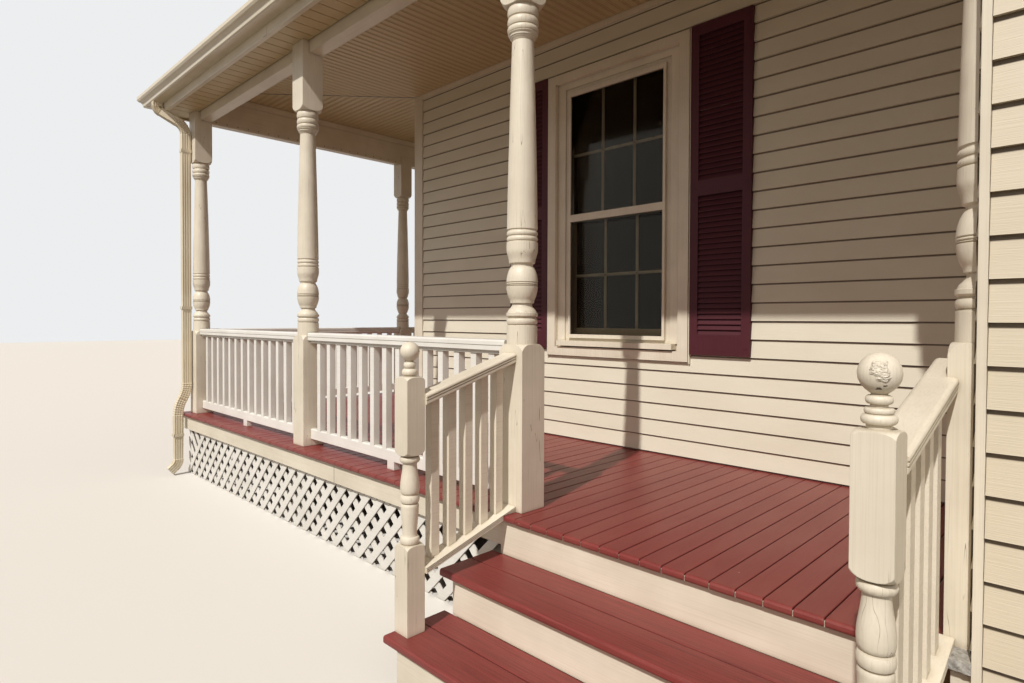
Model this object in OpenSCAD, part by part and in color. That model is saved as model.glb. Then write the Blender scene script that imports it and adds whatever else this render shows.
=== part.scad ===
// Covered front porch with turned posts that wraps the corner of a clapboard house.
// Millimetres, +X along the front wall to the right, +Y towards the house, +Z up.
// Everything is laid out from the corner of the house, then centred on its footprint.

/* [Deck and steps] */
// Height of the deck above the ground
deck_h = 525; // [450:5:700]
// Depth of the deck from the front wall to its nosing
front_depth = 1545; // [1300:5:2000]
// Thickness of a deck board
deck_t = 28; // [20:1:40]
// Number of risers between ground and deck
risers_n = 3; // [3:1:3]
// Going of one step, from nosing to nosing
going = 265; // [240:5:320]
// Overhang of a nosing in front of its riser
nosing = 27; // [15:1:40]

/* [House walls] */
// Length of the front wall, from the house corner to the projecting wall
front_len = 4290; // [3800:5:4800]
// Length of the wall round the corner
side_len = 3113; // [3000:1:3500]
// Width of the projecting wall beside the steps
stub_len = 685; // [400:5:1200]
// Thickness of a house wall
wall_t = 150; // [100:5:250]
// Height of the house walls
wall_h = 4000; // [3850:10:4500]

/* [Posts] */
// Width of the square timber that a porch post is turned from
post_w = 140; // [120:2:160]
// Distance from the front wall to the middle of the front posts
front_axis = 1402; // [1200:1:1700]
// Distance from the side wall to the middle of the side posts
side_axis = 1247; // [1100:1:1600]
// Spacing of the front posts
front_bay = 1951; // [1800:1:2100]
// Spacing of the side posts
side_bay = 2125; // [1900:1:2300]
// Height of the porch posts above the deck
post_h = 2605; // [2500:5:2700]
// Width of a newel post
newel_w = 80; // [70:1:100]

/* [Railings] */
// Height of the top rail above the deck
rail_h = 732; // [700:1:950]
// Width of a square baluster
baluster_w = 38; // [30:1:45]
// Number of balusters in one bay
balusters_n = 14; // [10:1:18]

/* [Eaves and roof] */
// Height of the underside of the beams above the deck
beam_z = 2530; // [2450:5:2580]
// Height of the boarded ceiling above the deck
ceiling_z = 2790; // [2700:5:2850]
// Distance from the post axis to the face of the fascia
overhang = 265; // [200:5:350]
// Rise of the porch roof for each unit of its run on the front
roof_pitch = 0.28; // [0.2:0.01:0.35]

/* [Hidden] */
$fn = 32;

trim_colour = "#ece0c6";
wall_colour = "#d8c8a8";
rail_colour = "#fbf8ee";
deck_colour = "#6f2a2c";
plum_colour = "#4a2330";
ceiling_colour = "#c9ad84";
roof_colour = "#6b645c";

// Deck outline and posts
nosing_out = front_depth - front_axis;
side_depth = side_axis + nosing_out;
post_x1 = -side_axis + front_bay + 1;
post_x2 = post_x1 + front_bay;
side_y1 = -front_axis + side_bay;
side_y2 = side_y1 + side_bay;
deck_back = side_y2 + nosing_out;
post_top = deck_h + post_h;
half = post_w / 2;

// The post at the projecting wall: its axis, the cut through it, the strip behind, and how much
// higher its turning sits than on the other posts
wall_post_x = front_len - 2;
wall_post_cut = front_len - 17;
strip_w = 90;
wall_post_up = 52;

// Skirt board and lattice below the deck edge
skirt_t = 25;
skirt_h = 110;
skirt_out = nosing_out - nosing;
skirt_top = deck_h - deck_t;
lattice_top = skirt_top - 20;
slat_w = 44;
slat_t = 7;
slat_pitch = 89;

// Steps
rise = deck_h / risers_n;
tread_t = 30;
front_board = 163;
tread_gap = 4;
nosing_r = 9;
edge_r = 3;
riser_t = 20;
steps_x0 = post_x2 - 58;
steps_x1 = front_len - 51;
riser_x0 = steps_x0 + 50;
riser_x1 = steps_x1 - 50;
stringer_t = 38;
newel_y = -front_depth - 2 * going + 90;
newel_x0 = steps_x0 + newel_w / 2 + 1;
newel_x1 = steps_x1 - newel_w / 2 - 1;

// Beams, ceiling, eaves
beam_t = 90;
beam_out = 25;
beam_top = 2790;
board_t = 20;
soffit_z = post_h;
fascia_drop = 15;
roof_t = 70;
drip = 23;
eave_out = overhang + drip;
eave_y = front_axis + eave_out;
eave_x = side_axis + eave_out;
eave_top = deck_h + 2790;
roof_rise = eave_y * roof_pitch;
roof_back = side_y2 + overhang;
fascia_top = 2724;

// Gutter
gutter_w = 127;
gutter_h = 90;
gutter_z = deck_h + 2655;
gutter_t = 3;

// Window: casing on the wall, the lining of the opening, the flat frame set back in it, the sill,
// the jambs and the storm window
win_x0 = 1586;
win_x1 = 2686;
win_z0 = deck_h + 574;
win_z1 = deck_h + 2523;
casing_w = 67;
casing_end = 60;
casing_out = 32;
lining_t = 10;
flat_in = 8;
flat_t = 13;
sill_x0 = 1683;
sill_x1 = 2589;
sill_z0 = deck_h + 643;
sill_z1 = deck_h + 677;
sill_out = 50;
open_x0 = 1720;
open_x1 = 2560;
open_z0 = deck_h + 690;
open_z1 = deck_h + 2426;
storm_x0 = 1757;
storm_x1 = 2516;
storm_z0 = deck_h + 697;
storm_z1 = deck_h + 2388;
storm_side = 17;
storm_head = 33;
storm_foot = 25;
storm_out = 10;
storm_bar_z0 = deck_h + 1495;
storm_bar_z1 = deck_h + 1544;

// Inner edges of the casing
in_x0 = win_x0 + casing_w;
in_x1 = win_x1 - casing_w;
in_z0 = win_z0 + casing_end;
in_z1 = win_z1 - casing_end;

// Sashes behind the storm window
meeting_z0 = deck_h + 1500;
meeting_z1 = deck_h + 1535;
stile_w = 46;
top_rail = 45;
meeting_rail = 35;
foot_rail = 75;
sash_t = 35;
sash_y = 22;
glass_t = 4;

// Shutters, each with two fields of louvres between three rails
shutter_w = 366;
shutter_z0 = deck_h + 620;
shutter_z1 = deck_h + 2530;
shutter_t = 30;
shutter_gap = 10;
shutter_stile = 51;
louvre_z = [deck_h + 735, deck_h + 1540, deck_h + 1629, deck_h + 2465];
louvre_n = [26, 27];
louvre_lip = 4;
louvre_depth = 13;
louvre_in = 3;

// The footprint that the origin is the middle of
box_x0 = -side_axis - overhang - gutter_w;
box_x1 = front_len + stub_len;
box_y0 = -front_depth - 2 * going;
box_y1 = roof_back;

// Moves what is laid out from the house corner so that the footprint is centred
module place() {
  translate([-(box_x0 + box_x1) / 2, -(box_y0 + box_y1) / 2, 0]) children();
}

// A box given by its lowest and highest corners
module block(a, b) {
  translate(a) cube(b - a);
}

// Round bead between two heights, from the root radius out to r and back
function bead(z0, z1, root, r) = [for (i = [0 : 6]) let (a = 30 * i)
  [root + (r - root) * sin(a), (z0 + z1) / 2 - (z1 - z0) / 2 * cos(a)]];

// Smooth S-shaped change of radius between two heights
function ogee(z0, z1, r0, r1) = [for (i = [0 : 6]) let (t = i / 6)
  [r0 + (r1 - r0) * (1 - cos(180 * t)) / 2, z0 + (z1 - z0) * t]];

// Round shoulder: a quarter of an ellipse that ends level with z1 or z0
function shoulder(z0, z1, r0, r1) = [for (i = [0 : 6]) let (a = 15 * i)
  [r0 + (r1 - r0) * (1 - cos(a)), z0 + (z1 - z0) * sin(a)]];

// Lower or upper part of a ball, from angle a0 to a1, about the height zc
function ball(zc, rz, r_in, r, a0, a1) = [for (i = [0 : 8]) let (a = a0 + (a1 - a0) * i / 8)
  [r_in + (r - r_in) * cos(a), zc + rz * sin(a)]];

// Radius of the square blocks before the corners are cut off: more than the half diagonal
function block_r(w) = w * 0.8;

// Profile of a porch post, from the deck up, as [radius, height]
function post_profile() = concat(
  [[0, 0], [block_r(post_w), 0], [block_r(post_w), 655]],
  shoulder(655, 716, 104, 67),
  [[67, 720], [67, 795], [62, 797], [62, 799]],
  bead(800, 828, 60, 68),
  [[60, 831]],
  [[64, 833], [69, 838], [69, 850]],
  ogee(852, 886, 64, 44),
  [[44, 891], [52, 893]],
  ball(975, 82, 34, 69, -55, -7),
  [[65, 967], [69, 970], [65, 973], [69, 976], [69, 979], [65, 982], [69, 985]],
  ball(975, 84, 34, 69, 9, 68),
  [[48, 1061], [52, 1064], [56, 1066]],
  ogee(1068, 1125, 57, 68.5),
  [[68.5, 1156], [63, 1159]],
  bead(1161, 1180, 63, 68),
  bead(1184, 1204, 63, 68),
  [[63, 1208], [67, 1212]],
  [for (i = [1 : 8]) let (t = i / 8) [67 - 19 * pow(t, 1.25), 1212 + 806 * t]],
  [[46, 2019], [46, 2022]],
  ogee(2023, 2036, 48, 56),
  [[56, 2037], [59, 2038], [59, 2041]],
  ogee(2042, 2053, 59, 66),
  bead(2056, 2080, 62, 68),
  bead(2082, 2118, 60, 68),
  bead(2120, 2163, 61, 68),
  [[62, 2165]],
  [for (p = [6 : -1 : 0]) shoulder(2232, 2167, 104, 65)[p]],
  [[block_r(post_w), 2234], [block_r(post_w), post_h], [0, post_h]]);

// A profile with everything between its two ends moved up
function raised(profile, up) = [for (p = profile)
  [p[0], p[1] > 0 && p[1] < post_h ? p[1] + up : p[1]]];

// Ball on top of a newel: its radius across and up, and the height of its middle
function top_ball(r, rz, zc) = [for (i = [1 : 9]) let (a = -70 + 160 * i / 9)
  [r * cos(a), zc + rz * sin(a)]];

// Two beads and the ball above the left newel, and the larger ones on the right
left_finial = concat([[22, 960]], bead(962, 988, 20, 30), bead(990, 1013, 16, 23.5),
  [[12, 1015]], top_ball(36.5, 36.5, 1052));
right_finial = concat([[23, 960], [23, 967]], bead(968, 989, 24, 33), bead(990, 1001, 24, 27),
  [[16, 1003], [16, 1007]], bead(1008, 1026, 18, 25), [[14, 1028]], top_ball(40, 41.5, 1069));
newel_top = 1112;

// Profile of a newel, from the tread up
function newel_profile(finial) = concat(
  [[0, 0], [block_r(newel_w), 0], [block_r(newel_w), 305]],
  shoulder(305, 332, 60, 36),
  [[31, 334]],
  bead(335, 361, 31, 37),
  [[28, 363], [27, 370]],
  ogee(372, 466, 27, 33.5),
  [[34, 474], [33.5, 480], [31, 484], [28, 485]],
  bead(487, 517, 30, 36.5),
  [[28, 519], [31, 521], [34, 526], [35.5, 534], [36, 543]],
  ogee(546, 634, 36, 26.5),
  bead(637, 662, 28, 38),
  [for (p = [6 : -1 : 0]) shoulder(702, 665, 60, 34)[p]],
  [[block_r(newel_w), 704], [block_r(newel_w), 932]],
  shoulder(932, 958, 60, 34),
  finial);

// A square timber turned on its axis, so that each block ends in round tongues
module turned(w, h, profile) {
  intersection() {
    translate([-w / 2, -w / 2, 0]) cube([w, w, h]);
    rotate_extrude($fn = 48) polygon(profile);
  }
}

module porch_post(x, y) {
  color(trim_colour) place() translate([x, y, deck_h]) turned(post_w, post_h, post_profile());
}

module newel(x, finial) {
  color(trim_colour) place() translate([x, newel_y, rise])
    turned(newel_w, newel_top, newel_profile(finial));
}

module front_wall() {
  color(wall_colour) place() difference() {
    block([0, 0, 0], [front_len, wall_t, wall_h]);
    block([in_x0 - lining_t, -1, in_z0 - lining_t], [in_x1 + lining_t, wall_t + 1, in_z1 + lining_t]);
  }
}

module side_wall() {
  color(wall_colour) place() block([0, wall_t, 0], [wall_t, side_len, wall_h]);
}

module right_wall_side() {
  color(wall_colour) place()
    block([front_len, -front_depth + 10, 0], [front_len + wall_t, wall_t, wall_h]);
}

module right_wall_front() {
  color(wall_colour) place() block([front_len + wall_t, -front_depth + 10, 0],
    [front_len + stub_len, -front_depth + 10 + wall_t, wall_h]);
}

module deck_front() {
  color(deck_colour) place()
    block([-side_depth, -front_depth, deck_h - deck_t], [front_len, 0, deck_h]);
}

module deck_side() {
  color(deck_colour) place()
    block([-side_depth, 0, deck_h - deck_t], [0, deck_back, deck_h]);
}

module front_joists() {
  color("#b08d5c") place() for (i = [0 : 3])
    block([-side_axis - 60, -front_axis - 60 + i * 430, skirt_top - 140],
          [front_len, -front_axis - 60 + i * 430 + 38, skirt_top]);
}

module side_joists() {
  color("#b08d5c") place() for (i = [0 : 3])
    block([-side_axis - 60 + i * 410, 10, skirt_top - 140],
          [-side_axis - 60 + i * 410 + 38, deck_back - 60, skirt_top]);
}

// Concrete pier under a post
module pier(x, y) {
  block([x - 100, y - 70, 0], [x + 100, y + 130, skirt_top - 140]);
}

module front_piers() {
  color("#9c978c") place() {
    pier(-side_axis + 50, -front_axis);
    pier(post_x1, -front_axis);
    pier(post_x2, -front_axis);
    pier(front_len - 110, -front_axis);
  }
}

module side_piers() {
  color("#9c978c") place() {
    pier(-side_axis + 40, side_y1);
    pier(-side_axis + 40, side_y2 - 120);
  }
}

module skirt_front() {
  color(trim_colour) place()
    block([-side_axis - skirt_out, -front_axis - skirt_out, skirt_top - skirt_h],
          [riser_x0, -front_axis - skirt_out + skirt_t, skirt_top]);
}

module skirt_side() {
  color(trim_colour) place()
    block([-side_axis - skirt_out, -front_axis - skirt_out + skirt_t, skirt_top - skirt_h],
          [-side_axis - skirt_out + skirt_t, side_y2 + skirt_out - skirt_t, skirt_top]);
}

module skirt_end() {
  color(trim_colour) place()
    block([-side_axis - skirt_out, side_y2 + skirt_out - skirt_t, skirt_top - skirt_h],
          [0, side_y2 + skirt_out, skirt_top]);
}

// Diagonal lattice of two crossed layers, standing in the XZ plane with its face at y = 0
module lattice(len, h) {
  n = ceil((len + h) / (slat_pitch * sqrt(2)));
  for (side = [0, 1])
    translate([0, slat_t * (side + 1) - side * 0.5, 0]) rotate([90, 0, 0]) linear_extrude(slat_t)
      intersection() {
        square([len, h]);
        for (i = [0 : n])
          translate([side == 0 ? i * slat_pitch * sqrt(2) : i * slat_pitch * sqrt(2) - h, 0])
            rotate(side == 0 ? 45 : -45)
              translate(side == 0 ? [-h, -slat_w / 2] : [-h * 2, -slat_w / 2]) square([h * 4, slat_w]);
      }
}

module lattice_front() {
  color(rail_colour) place()
    translate([-side_axis - skirt_out + 40, -front_axis - skirt_out + skirt_t, 0])
      lattice(riser_x0 + side_axis + skirt_out - 40, lattice_top);
}

module lattice_side() {
  color(rail_colour) place()
    translate([-side_axis - skirt_out + skirt_t, side_y2 + skirt_out - 45, 0]) rotate(-90)
      lattice(side_y2 + front_axis + 2 * skirt_out - 90, lattice_top);
}

module lattice_end() {
  color(rail_colour) place()
    translate([0, side_y2 + skirt_out - skirt_t, 0]) rotate(180)
      lattice(side_axis + skirt_out - 45, lattice_top);
}

// Quarter of a circle as points, from angle a0 on
function quarter(y, z, r, a0) = [for (i = [0 : 4]) let (a = a0 + 22.5 * i)
  [y + r * cos(a), z + r * sin(a)]];

// Board along the flight from y0 to y1, its front edges rounded to rf, its back ones to rb
module tread_board(y0, y1, z, rf, rb) {
  b = z - tread_t;
  translate([steps_x0, 0, 0]) rotate([90, 0, 90]) linear_extrude(steps_x1 - steps_x0)
    polygon(concat(quarter(y1 - rb, z - rb, rb, 0), quarter(y0 + rf, z - rf, rf, 90),
                   quarter(y0 + rf, b + rf, rf, 180), quarter(y1 - rb, b + rb, rb, 270)));
}

// One tread of two boards with a narrow gap between them
module tread(k) {
  y0 = -front_depth - (risers_n - k) * going;
  y1 = y0 + front_board;
  z = k * rise;
  color(deck_colour) place() {
    tread_board(y0, y1, z, nosing_r, edge_r);
    tread_board(y1 + tread_gap, y0 + going + nosing, z, edge_r, edge_r);
  }
}

module lower_tread() {
  tread(1);
}

module upper_tread() {
  tread(2);
}

module risers() {
  color(trim_colour) place() for (k = [1 : risers_n]) {
    y = -front_depth - (risers_n - k) * going + nosing;
    top = k * rise - (k == risers_n ? deck_t : tread_t);
    block([riser_x0, y, (k - 1) * rise], [riser_x1, y + riser_t, top]);
  }
}

// Side of the flight: a solid board cut to the steps
module stringer(x) {
  y1 = -front_depth - 2 * going + nosing + riser_t;
  y2 = y1 + going;
  y3 = y2 + going;
  translate([x, 0, 0]) rotate([90, 0, 90]) linear_extrude(stringer_t)
    polygon([[y1, 0], [y3 - riser_t, 0], [y3 - riser_t, 2 * rise - tread_t],
             [y2, 2 * rise - tread_t], [y2, rise - tread_t], [y1, rise - tread_t]]);
}

module stringers() {
  color(trim_colour) place() {
    stringer(riser_x0);
    stringer((riser_x0 + riser_x1 - stringer_t) / 2);
    stringer(riser_x1 - stringer_t);
  }
}

module corner_post() {
  porch_post(-side_axis, -front_axis);
}

module middle_post() {
  porch_post(post_x1, -front_axis);
}

module stair_post() {
  porch_post(post_x2, -front_axis);
}

module side_post() {
  porch_post(-side_axis, side_y1);
}

module end_post() {
  porch_post(-side_axis, side_y2);
}

// Less than half of a turned post, on a narrow strip against the projecting wall
module wall_post() {
  color(trim_colour) place() translate([0, -front_axis, deck_h]) union() {
    intersection() {
      translate([wall_post_x, 0, 0])
        turned(post_w, post_h, raised(post_profile(), wall_post_up));
      block([wall_post_cut - post_w, -post_w, 0], [wall_post_cut, post_w, post_h]);
    }
    block([wall_post_cut - 1, -strip_w / 2, 0], [front_len, strip_w / 2, post_h]);
  }
}

module left_newel() {
  newel(newel_x0, left_finial);
}

module right_newel() {
  newel(newel_x1, right_finial);
}

// Railings: bottom rail above the deck, its thickness, and the little foot under it
foot_z = 45;
foot_t = 65;
foot_w = 64;

// Section of a rail from half of its outline, given from the top down, mirrored to the left
module mirrored(side) {
  n = len(side) - 1;
  polygon(concat(side, [for (i = [n : -1 : 0]) [-side[i][0], side[i][1]]]));
}

// Right half of the top rail: rounded cap, a groove, the lower moulding, the narrow part
cap_side = [[31, 0], [36, -2], [39, -5], [40, -9], [40, -25], [37, -26], [37, -28], [40, -29],
  [40, -48], [36, -52], [25, -52], [25, -65]];
cap_h = 65;

// Right half of the bottom rail, with its top edges taken off
foot_side = [[baluster_w / 2 - 6, 0], [baluster_w / 2, -7], [baluster_w / 2, -foot_t]];

// Railing panel along X between two post faces, with its middle line on y = 0
module railing(len, n) {
  gap = (len - n * baluster_w) / (n + 1);
  translate([0, 0, rail_h]) rotate([90, 0, 90]) linear_extrude(len) mirrored(cap_side);
  translate([0, 0, foot_z + foot_t]) rotate([90, 0, 90]) linear_extrude(len) mirrored(foot_side);
  for (i = [0 : n - 1])
    translate([gap + i * (baluster_w + gap), -baluster_w / 2, foot_z])
      cube([baluster_w, baluster_w, rail_h - cap_h + 1 - foot_z]);
  translate([(len - foot_w) / 2, -baluster_w / 2, 0]) cube([foot_w, baluster_w, foot_z + 1]);
}

module railing_front_left() {
  color(rail_colour) place() translate([-side_axis + half, -front_axis, deck_h])
    railing(post_x1 + side_axis - post_w, balusters_n);
}

module railing_front_right() {
  color(rail_colour) place() translate([post_x1 + half, -front_axis, deck_h])
    railing(post_x2 - post_x1 - post_w, balusters_n);
}

module railing_side_front() {
  color(rail_colour) place() translate([-side_axis, -front_axis + half, deck_h]) rotate(90)
    railing(side_bay - post_w, balusters_n + 1);
}

module railing_side_back() {
  color(rail_colour) place() translate([-side_axis, side_y1 + half, deck_h]) rotate(90)
    railing(side_bay - post_w, balusters_n + 1);
}

module railing_end() {
  color(rail_colour) place() translate([-side_axis + half, side_y2, deck_h])
    railing(side_axis - half, 9);
}

// Right half of the handrail of the steps and of the bottom rail below it, from the top down
hand_side = [[30, 0], [36, -2], [39.5, -5], [41, -9], [41, -12], [37, -13], [37, -15.5], [40, -17],
  [40, -22], [36, -23.5], [36, -25.5], [39, -27], [39, -36], [36, -39]];
slope_side = [[40, 0], [41, -1], [41, -2], [38, -2.5], [38, -4.5], [41, -5], [41, -8.5], [38, -9],
  [38, -11], [41, -11.5], [41, -15], [38, -15.5], [38, -17.5], [41, -18], [41, -22], [40, -23]];

// Stair railings: height of the top of the bottom rail at its two ends, above the deck, and how
// far a baluster goes into the two rails
slope_foot0 = -107;
slope_foot1 = 24;
slope_bars = 5;
foot_in = 8;
hand_in = 24;

// Rail with its top line from (y0, z0) to (y1, z1), cut upright at both ends
module sloped(y0, z0, y1, z1, side) {
  a = atan((z1 - z0) / (y1 - y0));
  l = (y1 - y0) / cos(a);
  intersection() {
    translate([0, y0, z0]) rotate([a, 0, 0]) translate([0, l + 60, 0]) rotate([90, 0, 0])
      linear_extrude(l + 120) mirrored(side);
    block([-60, y0, z0 - 120], [60, y1, z1 + 20]);
  }
}

// Stair railing from the newel at x up to a porch post. Its rails lie off to the right of the
// newel's axis; the handrail climbs from top0 to top1 above the deck, where it meets the post,
// and goes on beside the post for the length past.
module stair_rail(x, off, top0, top1, past) {
  y0 = newel_y + newel_w / 2;
  y1 = -front_axis - half;
  hand_slope = (top1 - top0) / (y1 - y0);
  foot_slope = (slope_foot1 - slope_foot0) / (y1 - y0);
  gap = (y1 - y0 - slope_bars * baluster_w) / (slope_bars + 1);
  color(trim_colour) place() translate([x, 0, deck_h]) difference() {
    union() {
      translate([off, 0, 0]) sloped(y0, top0, y1 + past, top1 + hand_slope * past, hand_side);
      translate([off, 0, 0]) sloped(y0, slope_foot0, y1, slope_foot1, slope_side);
      for (i = [0 : slope_bars - 1]) {
        y = gap + i * (baluster_w + gap);
        block([-baluster_w / 2, y0 + y, slope_foot0 + foot_slope * y - foot_in],
              [baluster_w / 2, y0 + y + baluster_w, top0 + hand_slope * y - hand_in]);
      }
    }
    block([-post_w, -front_depth, -deck_h], [post_w, 0, 0]);
    block([wall_post_x - half - newel_x1, y1, 0], [post_w, 0, post_h]);
  }
}

module stair_rail_left() {
  stair_rail(newel_x0, 12, 543, 680, 0);
}

module stair_rail_right() {
  stair_rail(newel_x1, 4, 558, 681, post_w + 12);
}

// Timber beams, notched over the tops of the posts
module beam_front() {
  color(trim_colour) place() difference() {
    block([-side_axis - beam_out, -front_axis - beam_out, deck_h + beam_z],
          [front_len, -front_axis - beam_out + beam_t, deck_h + beam_top]);
    for (x = [-side_axis, post_x1, post_x2])
      block([x - half, -front_axis - half, deck_h],
            [x + half, -front_axis + half, post_top]);
    block([wall_post_x - half, -front_axis - half, deck_h],
          [front_len + 1, -front_axis + half, post_top]);
  }
}

module beam_side() {
  color(trim_colour) place() difference() {
    block([-side_axis - beam_out, -front_axis - beam_out + beam_t, deck_h + beam_z],
          [-side_axis - beam_out + beam_t, side_y2 + beam_out, deck_h + beam_top]);
    for (y = [-front_axis, side_y1, side_y2])
      block([-side_axis - half, y - half, deck_h],
            [-side_axis + half, y + half, post_top]);
  }
}

module beam_end() {
  color(trim_colour) place() difference() {
    block([-side_axis - beam_out + beam_t, side_y2 + beam_out - beam_t, deck_h + beam_z],
          [0, side_y2 + beam_out, deck_h + beam_top]);
    block([-side_axis - half, side_y2 - half, deck_h],
          [-side_axis + half, side_y2 + half, post_top]);
  }
}

inner_x = -side_axis - beam_out + beam_t;
inner_y = -front_axis - beam_out + beam_t;

// Boarded ceilings, mitred from the house corner to the porch corner
module ceiling_front() {
  color(ceiling_colour) place() translate([0, 0, deck_h + ceiling_z]) linear_extrude(board_t)
    polygon([[0, 0], [inner_x, inner_y], [front_len, inner_y], [front_len, 0]]);
}

module ceiling_side() {
  color(ceiling_colour) place() translate([0, 0, deck_h + ceiling_z]) linear_extrude(board_t)
    polygon([[0, 0], [0, side_y2 + beam_out - beam_t], [inner_x, side_y2 + beam_out - beam_t],
             [inner_x, inner_y]]);
}

// Fascia and soffit, as an L in section, mitred at the porch corner
module eave_front() {
  f = overhang;
  b = overhang - board_t;
  color(trim_colour) place() union() {
    translate([0, 0, deck_h + soffit_z - fascia_drop])
      linear_extrude(fascia_top - soffit_z + fascia_drop)
        polygon([[-side_axis - f, -front_axis - f], [front_len, -front_axis - f],
                 [front_len, -front_axis - b], [-side_axis - b, -front_axis - b]]);
    translate([0, 0, deck_h + soffit_z]) linear_extrude(15)
      polygon([[-side_axis - b, -front_axis - b], [front_len, -front_axis - b],
               [front_len, -front_axis - beam_out], [-side_axis - beam_out, -front_axis - beam_out]]);
  }
}

module eave_side() {
  f = overhang;
  b = overhang - board_t;
  color(trim_colour) place() union() {
    translate([0, 0, deck_h + soffit_z - fascia_drop])
      linear_extrude(fascia_top - soffit_z + fascia_drop)
        polygon([[-side_axis - f, -front_axis - f], [-side_axis - b, -front_axis - b],
                 [-side_axis - b, roof_back], [-side_axis - f, roof_back]]);
    translate([0, 0, deck_h + soffit_z]) linear_extrude(15)
      polygon([[-side_axis - b, -front_axis - b], [-side_axis - beam_out, -front_axis - beam_out],
               [-side_axis - beam_out, side_y2 + beam_out], [-side_axis - b, side_y2 + beam_out]]);
  }
}

// Underside of the side roof above the ground at a distance from the side wall
function side_under(x) = eave_top - roof_t + roof_rise * (1 + x / eave_x);

// Boarded triangle that closes the end of the side roof
module gable_end() {
  color(trim_colour) place() translate([0, side_y2 + beam_out, 0]) rotate([90, 0, 0])
    linear_extrude(board_t)
      polygon([[-side_axis - beam_out, deck_h + beam_top + 1], [0, deck_h + beam_top + 1],
               [0, side_under(0) - 1], [-side_axis - beam_out, side_under(-side_axis - beam_out) - 1]]);
}

// Ogee gutter in section: flat back, flat bottom, a moulded front and a lip turned in
module gutter_section() {
  w = gutter_w;
  h = gutter_h;
  t = gutter_t;
  outer = [[0, h], [0, 0], [-80, 0], [-88, 8], [-92, 30], [-104, 44], [-118, 52], [-w, 66],
           [-w, h]];
  inner = [[-w + 12, h], [-w + 12, h - t], [-w + t, h - t], [-w + t, 68], [-117, 55], [-102, 47],
           [-89, 32], [-85, 9], [-79, t], [-t, t], [-t, h]];
  polygon(concat(outer, inner));
}

module gutter_front() {
  x0 = -side_axis - overhang;
  y0 = -front_axis - overhang;
  color(trim_colour) place() intersection() {
    translate([front_len, y0, gutter_z]) rotate([90, 0, -90])
      mirror([1, 0, 0]) linear_extrude(front_len - x0 + gutter_w) gutter_section();
    linear_extrude(wall_h) polygon([[x0, y0], [front_len, y0], [front_len, y0 - 200],
      [x0 - 200, y0 - 200]]);
  }
}

module gutter_side() {
  x0 = -side_axis - overhang;
  y0 = -front_axis - overhang;
  color(trim_colour) place() intersection() {
    translate([x0, roof_back, gutter_z]) rotate([90, 0, 0])
      linear_extrude(roof_back - y0 + gutter_w) gutter_section();
    linear_extrude(wall_h) polygon([[x0, y0], [x0, roof_back], [x0 - 200, roof_back],
      [x0 - 200, y0 - 200]]);
  }
}

// Downspout: the middle of its section at each bend, from the gutter to the ground
pipe_w = 51;
pipe_d = 76;
pipe_x = -side_axis - 28;
pipe_y = -front_axis - half - 8 - pipe_d / 2;
pipe_route = [
  [pipe_x - 82, -front_axis - overhang - 48, gutter_z - 2],
  [pipe_x - 82, -front_axis - overhang - 48, gutter_z - 60],
  [pipe_x, pipe_y, deck_h + 2490],
  [pipe_x, pipe_y, deck_h + 190],
  [pipe_x, -front_depth - pipe_d / 2 - 6, deck_h + 60],
  [pipe_x, -front_depth - pipe_d / 2 - 6, 90],
  [pipe_x, -front_depth - pipe_d / 2 - 70, 40]];

module downspout() {
  color(trim_colour) place() for (i = [0 : len(pipe_route) - 2]) hull() {
    for (p = [pipe_route[i], pipe_route[i + 1]])
      translate(p) cube([pipe_w, pipe_d, 4], center = true);
  }
}

// Roof slabs: a tilted slab cut to its plan, meeting its neighbour along the hip
module roof_front() {
  angle = atan(roof_pitch);
  color(roof_colour) place() intersection() {
    translate([-eave_x - 10, -eave_y, eave_top]) rotate([angle, 0, 0])
      translate([0, -200, -roof_t * cos(angle)])
        cube([front_len + eave_x + 10, eave_y * 2, roof_t * cos(angle)]);
    linear_extrude(wall_h) polygon([[0, 0], [-eave_x, -eave_y], [front_len, -eave_y], [front_len, 0]]);
  }
}

module roof_side() {
  angle = atan(roof_rise / eave_x);
  color(roof_colour) place() intersection() {
    translate([-eave_x, -eave_y - 10, eave_top]) rotate([0, -angle, 0])
      translate([-200, 0, -roof_t * cos(angle)])
        cube([eave_x * 2, roof_back + eave_y + 10, roof_t * cos(angle)]);
    linear_extrude(wall_h) polygon([[0, 0], [0, roof_back], [-eave_x, roof_back], [-eave_x, -eave_y]]);
  }
}

// Frame from y0 to y1 in the XZ plane; outside and hole are given as [x0, z0, x1, z1]
module frame_xz(outside, hole, y0, y1) {
  difference() {
    block([outside[0], y0, outside[1]], [outside[2], y1, outside[3]]);
    block([hole[0], y0 - 1, hole[1]], [hole[2], y1 + 1, hole[3]]);
  }
}

module window_casing() {
  inner = [in_x0, in_z0, in_x1, in_z1];
  lap = [-1, -1, 1, 1];
  flat_back = flat_in + flat_t;
  color(trim_colour) place() union() {
    frame_xz([win_x0, win_z0, win_x1, win_z1], inner, -casing_out, 0);
    frame_xz(inner + lining_t * lap, inner, -1, wall_t);
    frame_xz(inner + lap, [storm_x0, storm_z0, storm_x1, storm_z1] - 8 * lap, flat_in, flat_back);
    frame_xz(inner + lap, [open_x0, open_z0, open_x1, open_z1], flat_back - 1, wall_t);
    block([sill_x0, -sill_out, sill_z0], [sill_x1, flat_in + 1, sill_z1]);
    frame_xz([storm_x0, storm_z0, storm_x1, storm_z1],
             [storm_x0 + storm_side, storm_z0 + storm_foot, storm_x1 - storm_side,
              storm_z1 - storm_head], -storm_out, flat_in + 1);
    block([storm_x0, -storm_out, storm_bar_z0], [storm_x1, flat_in + 1, storm_bar_z1]);
  }
}

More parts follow.
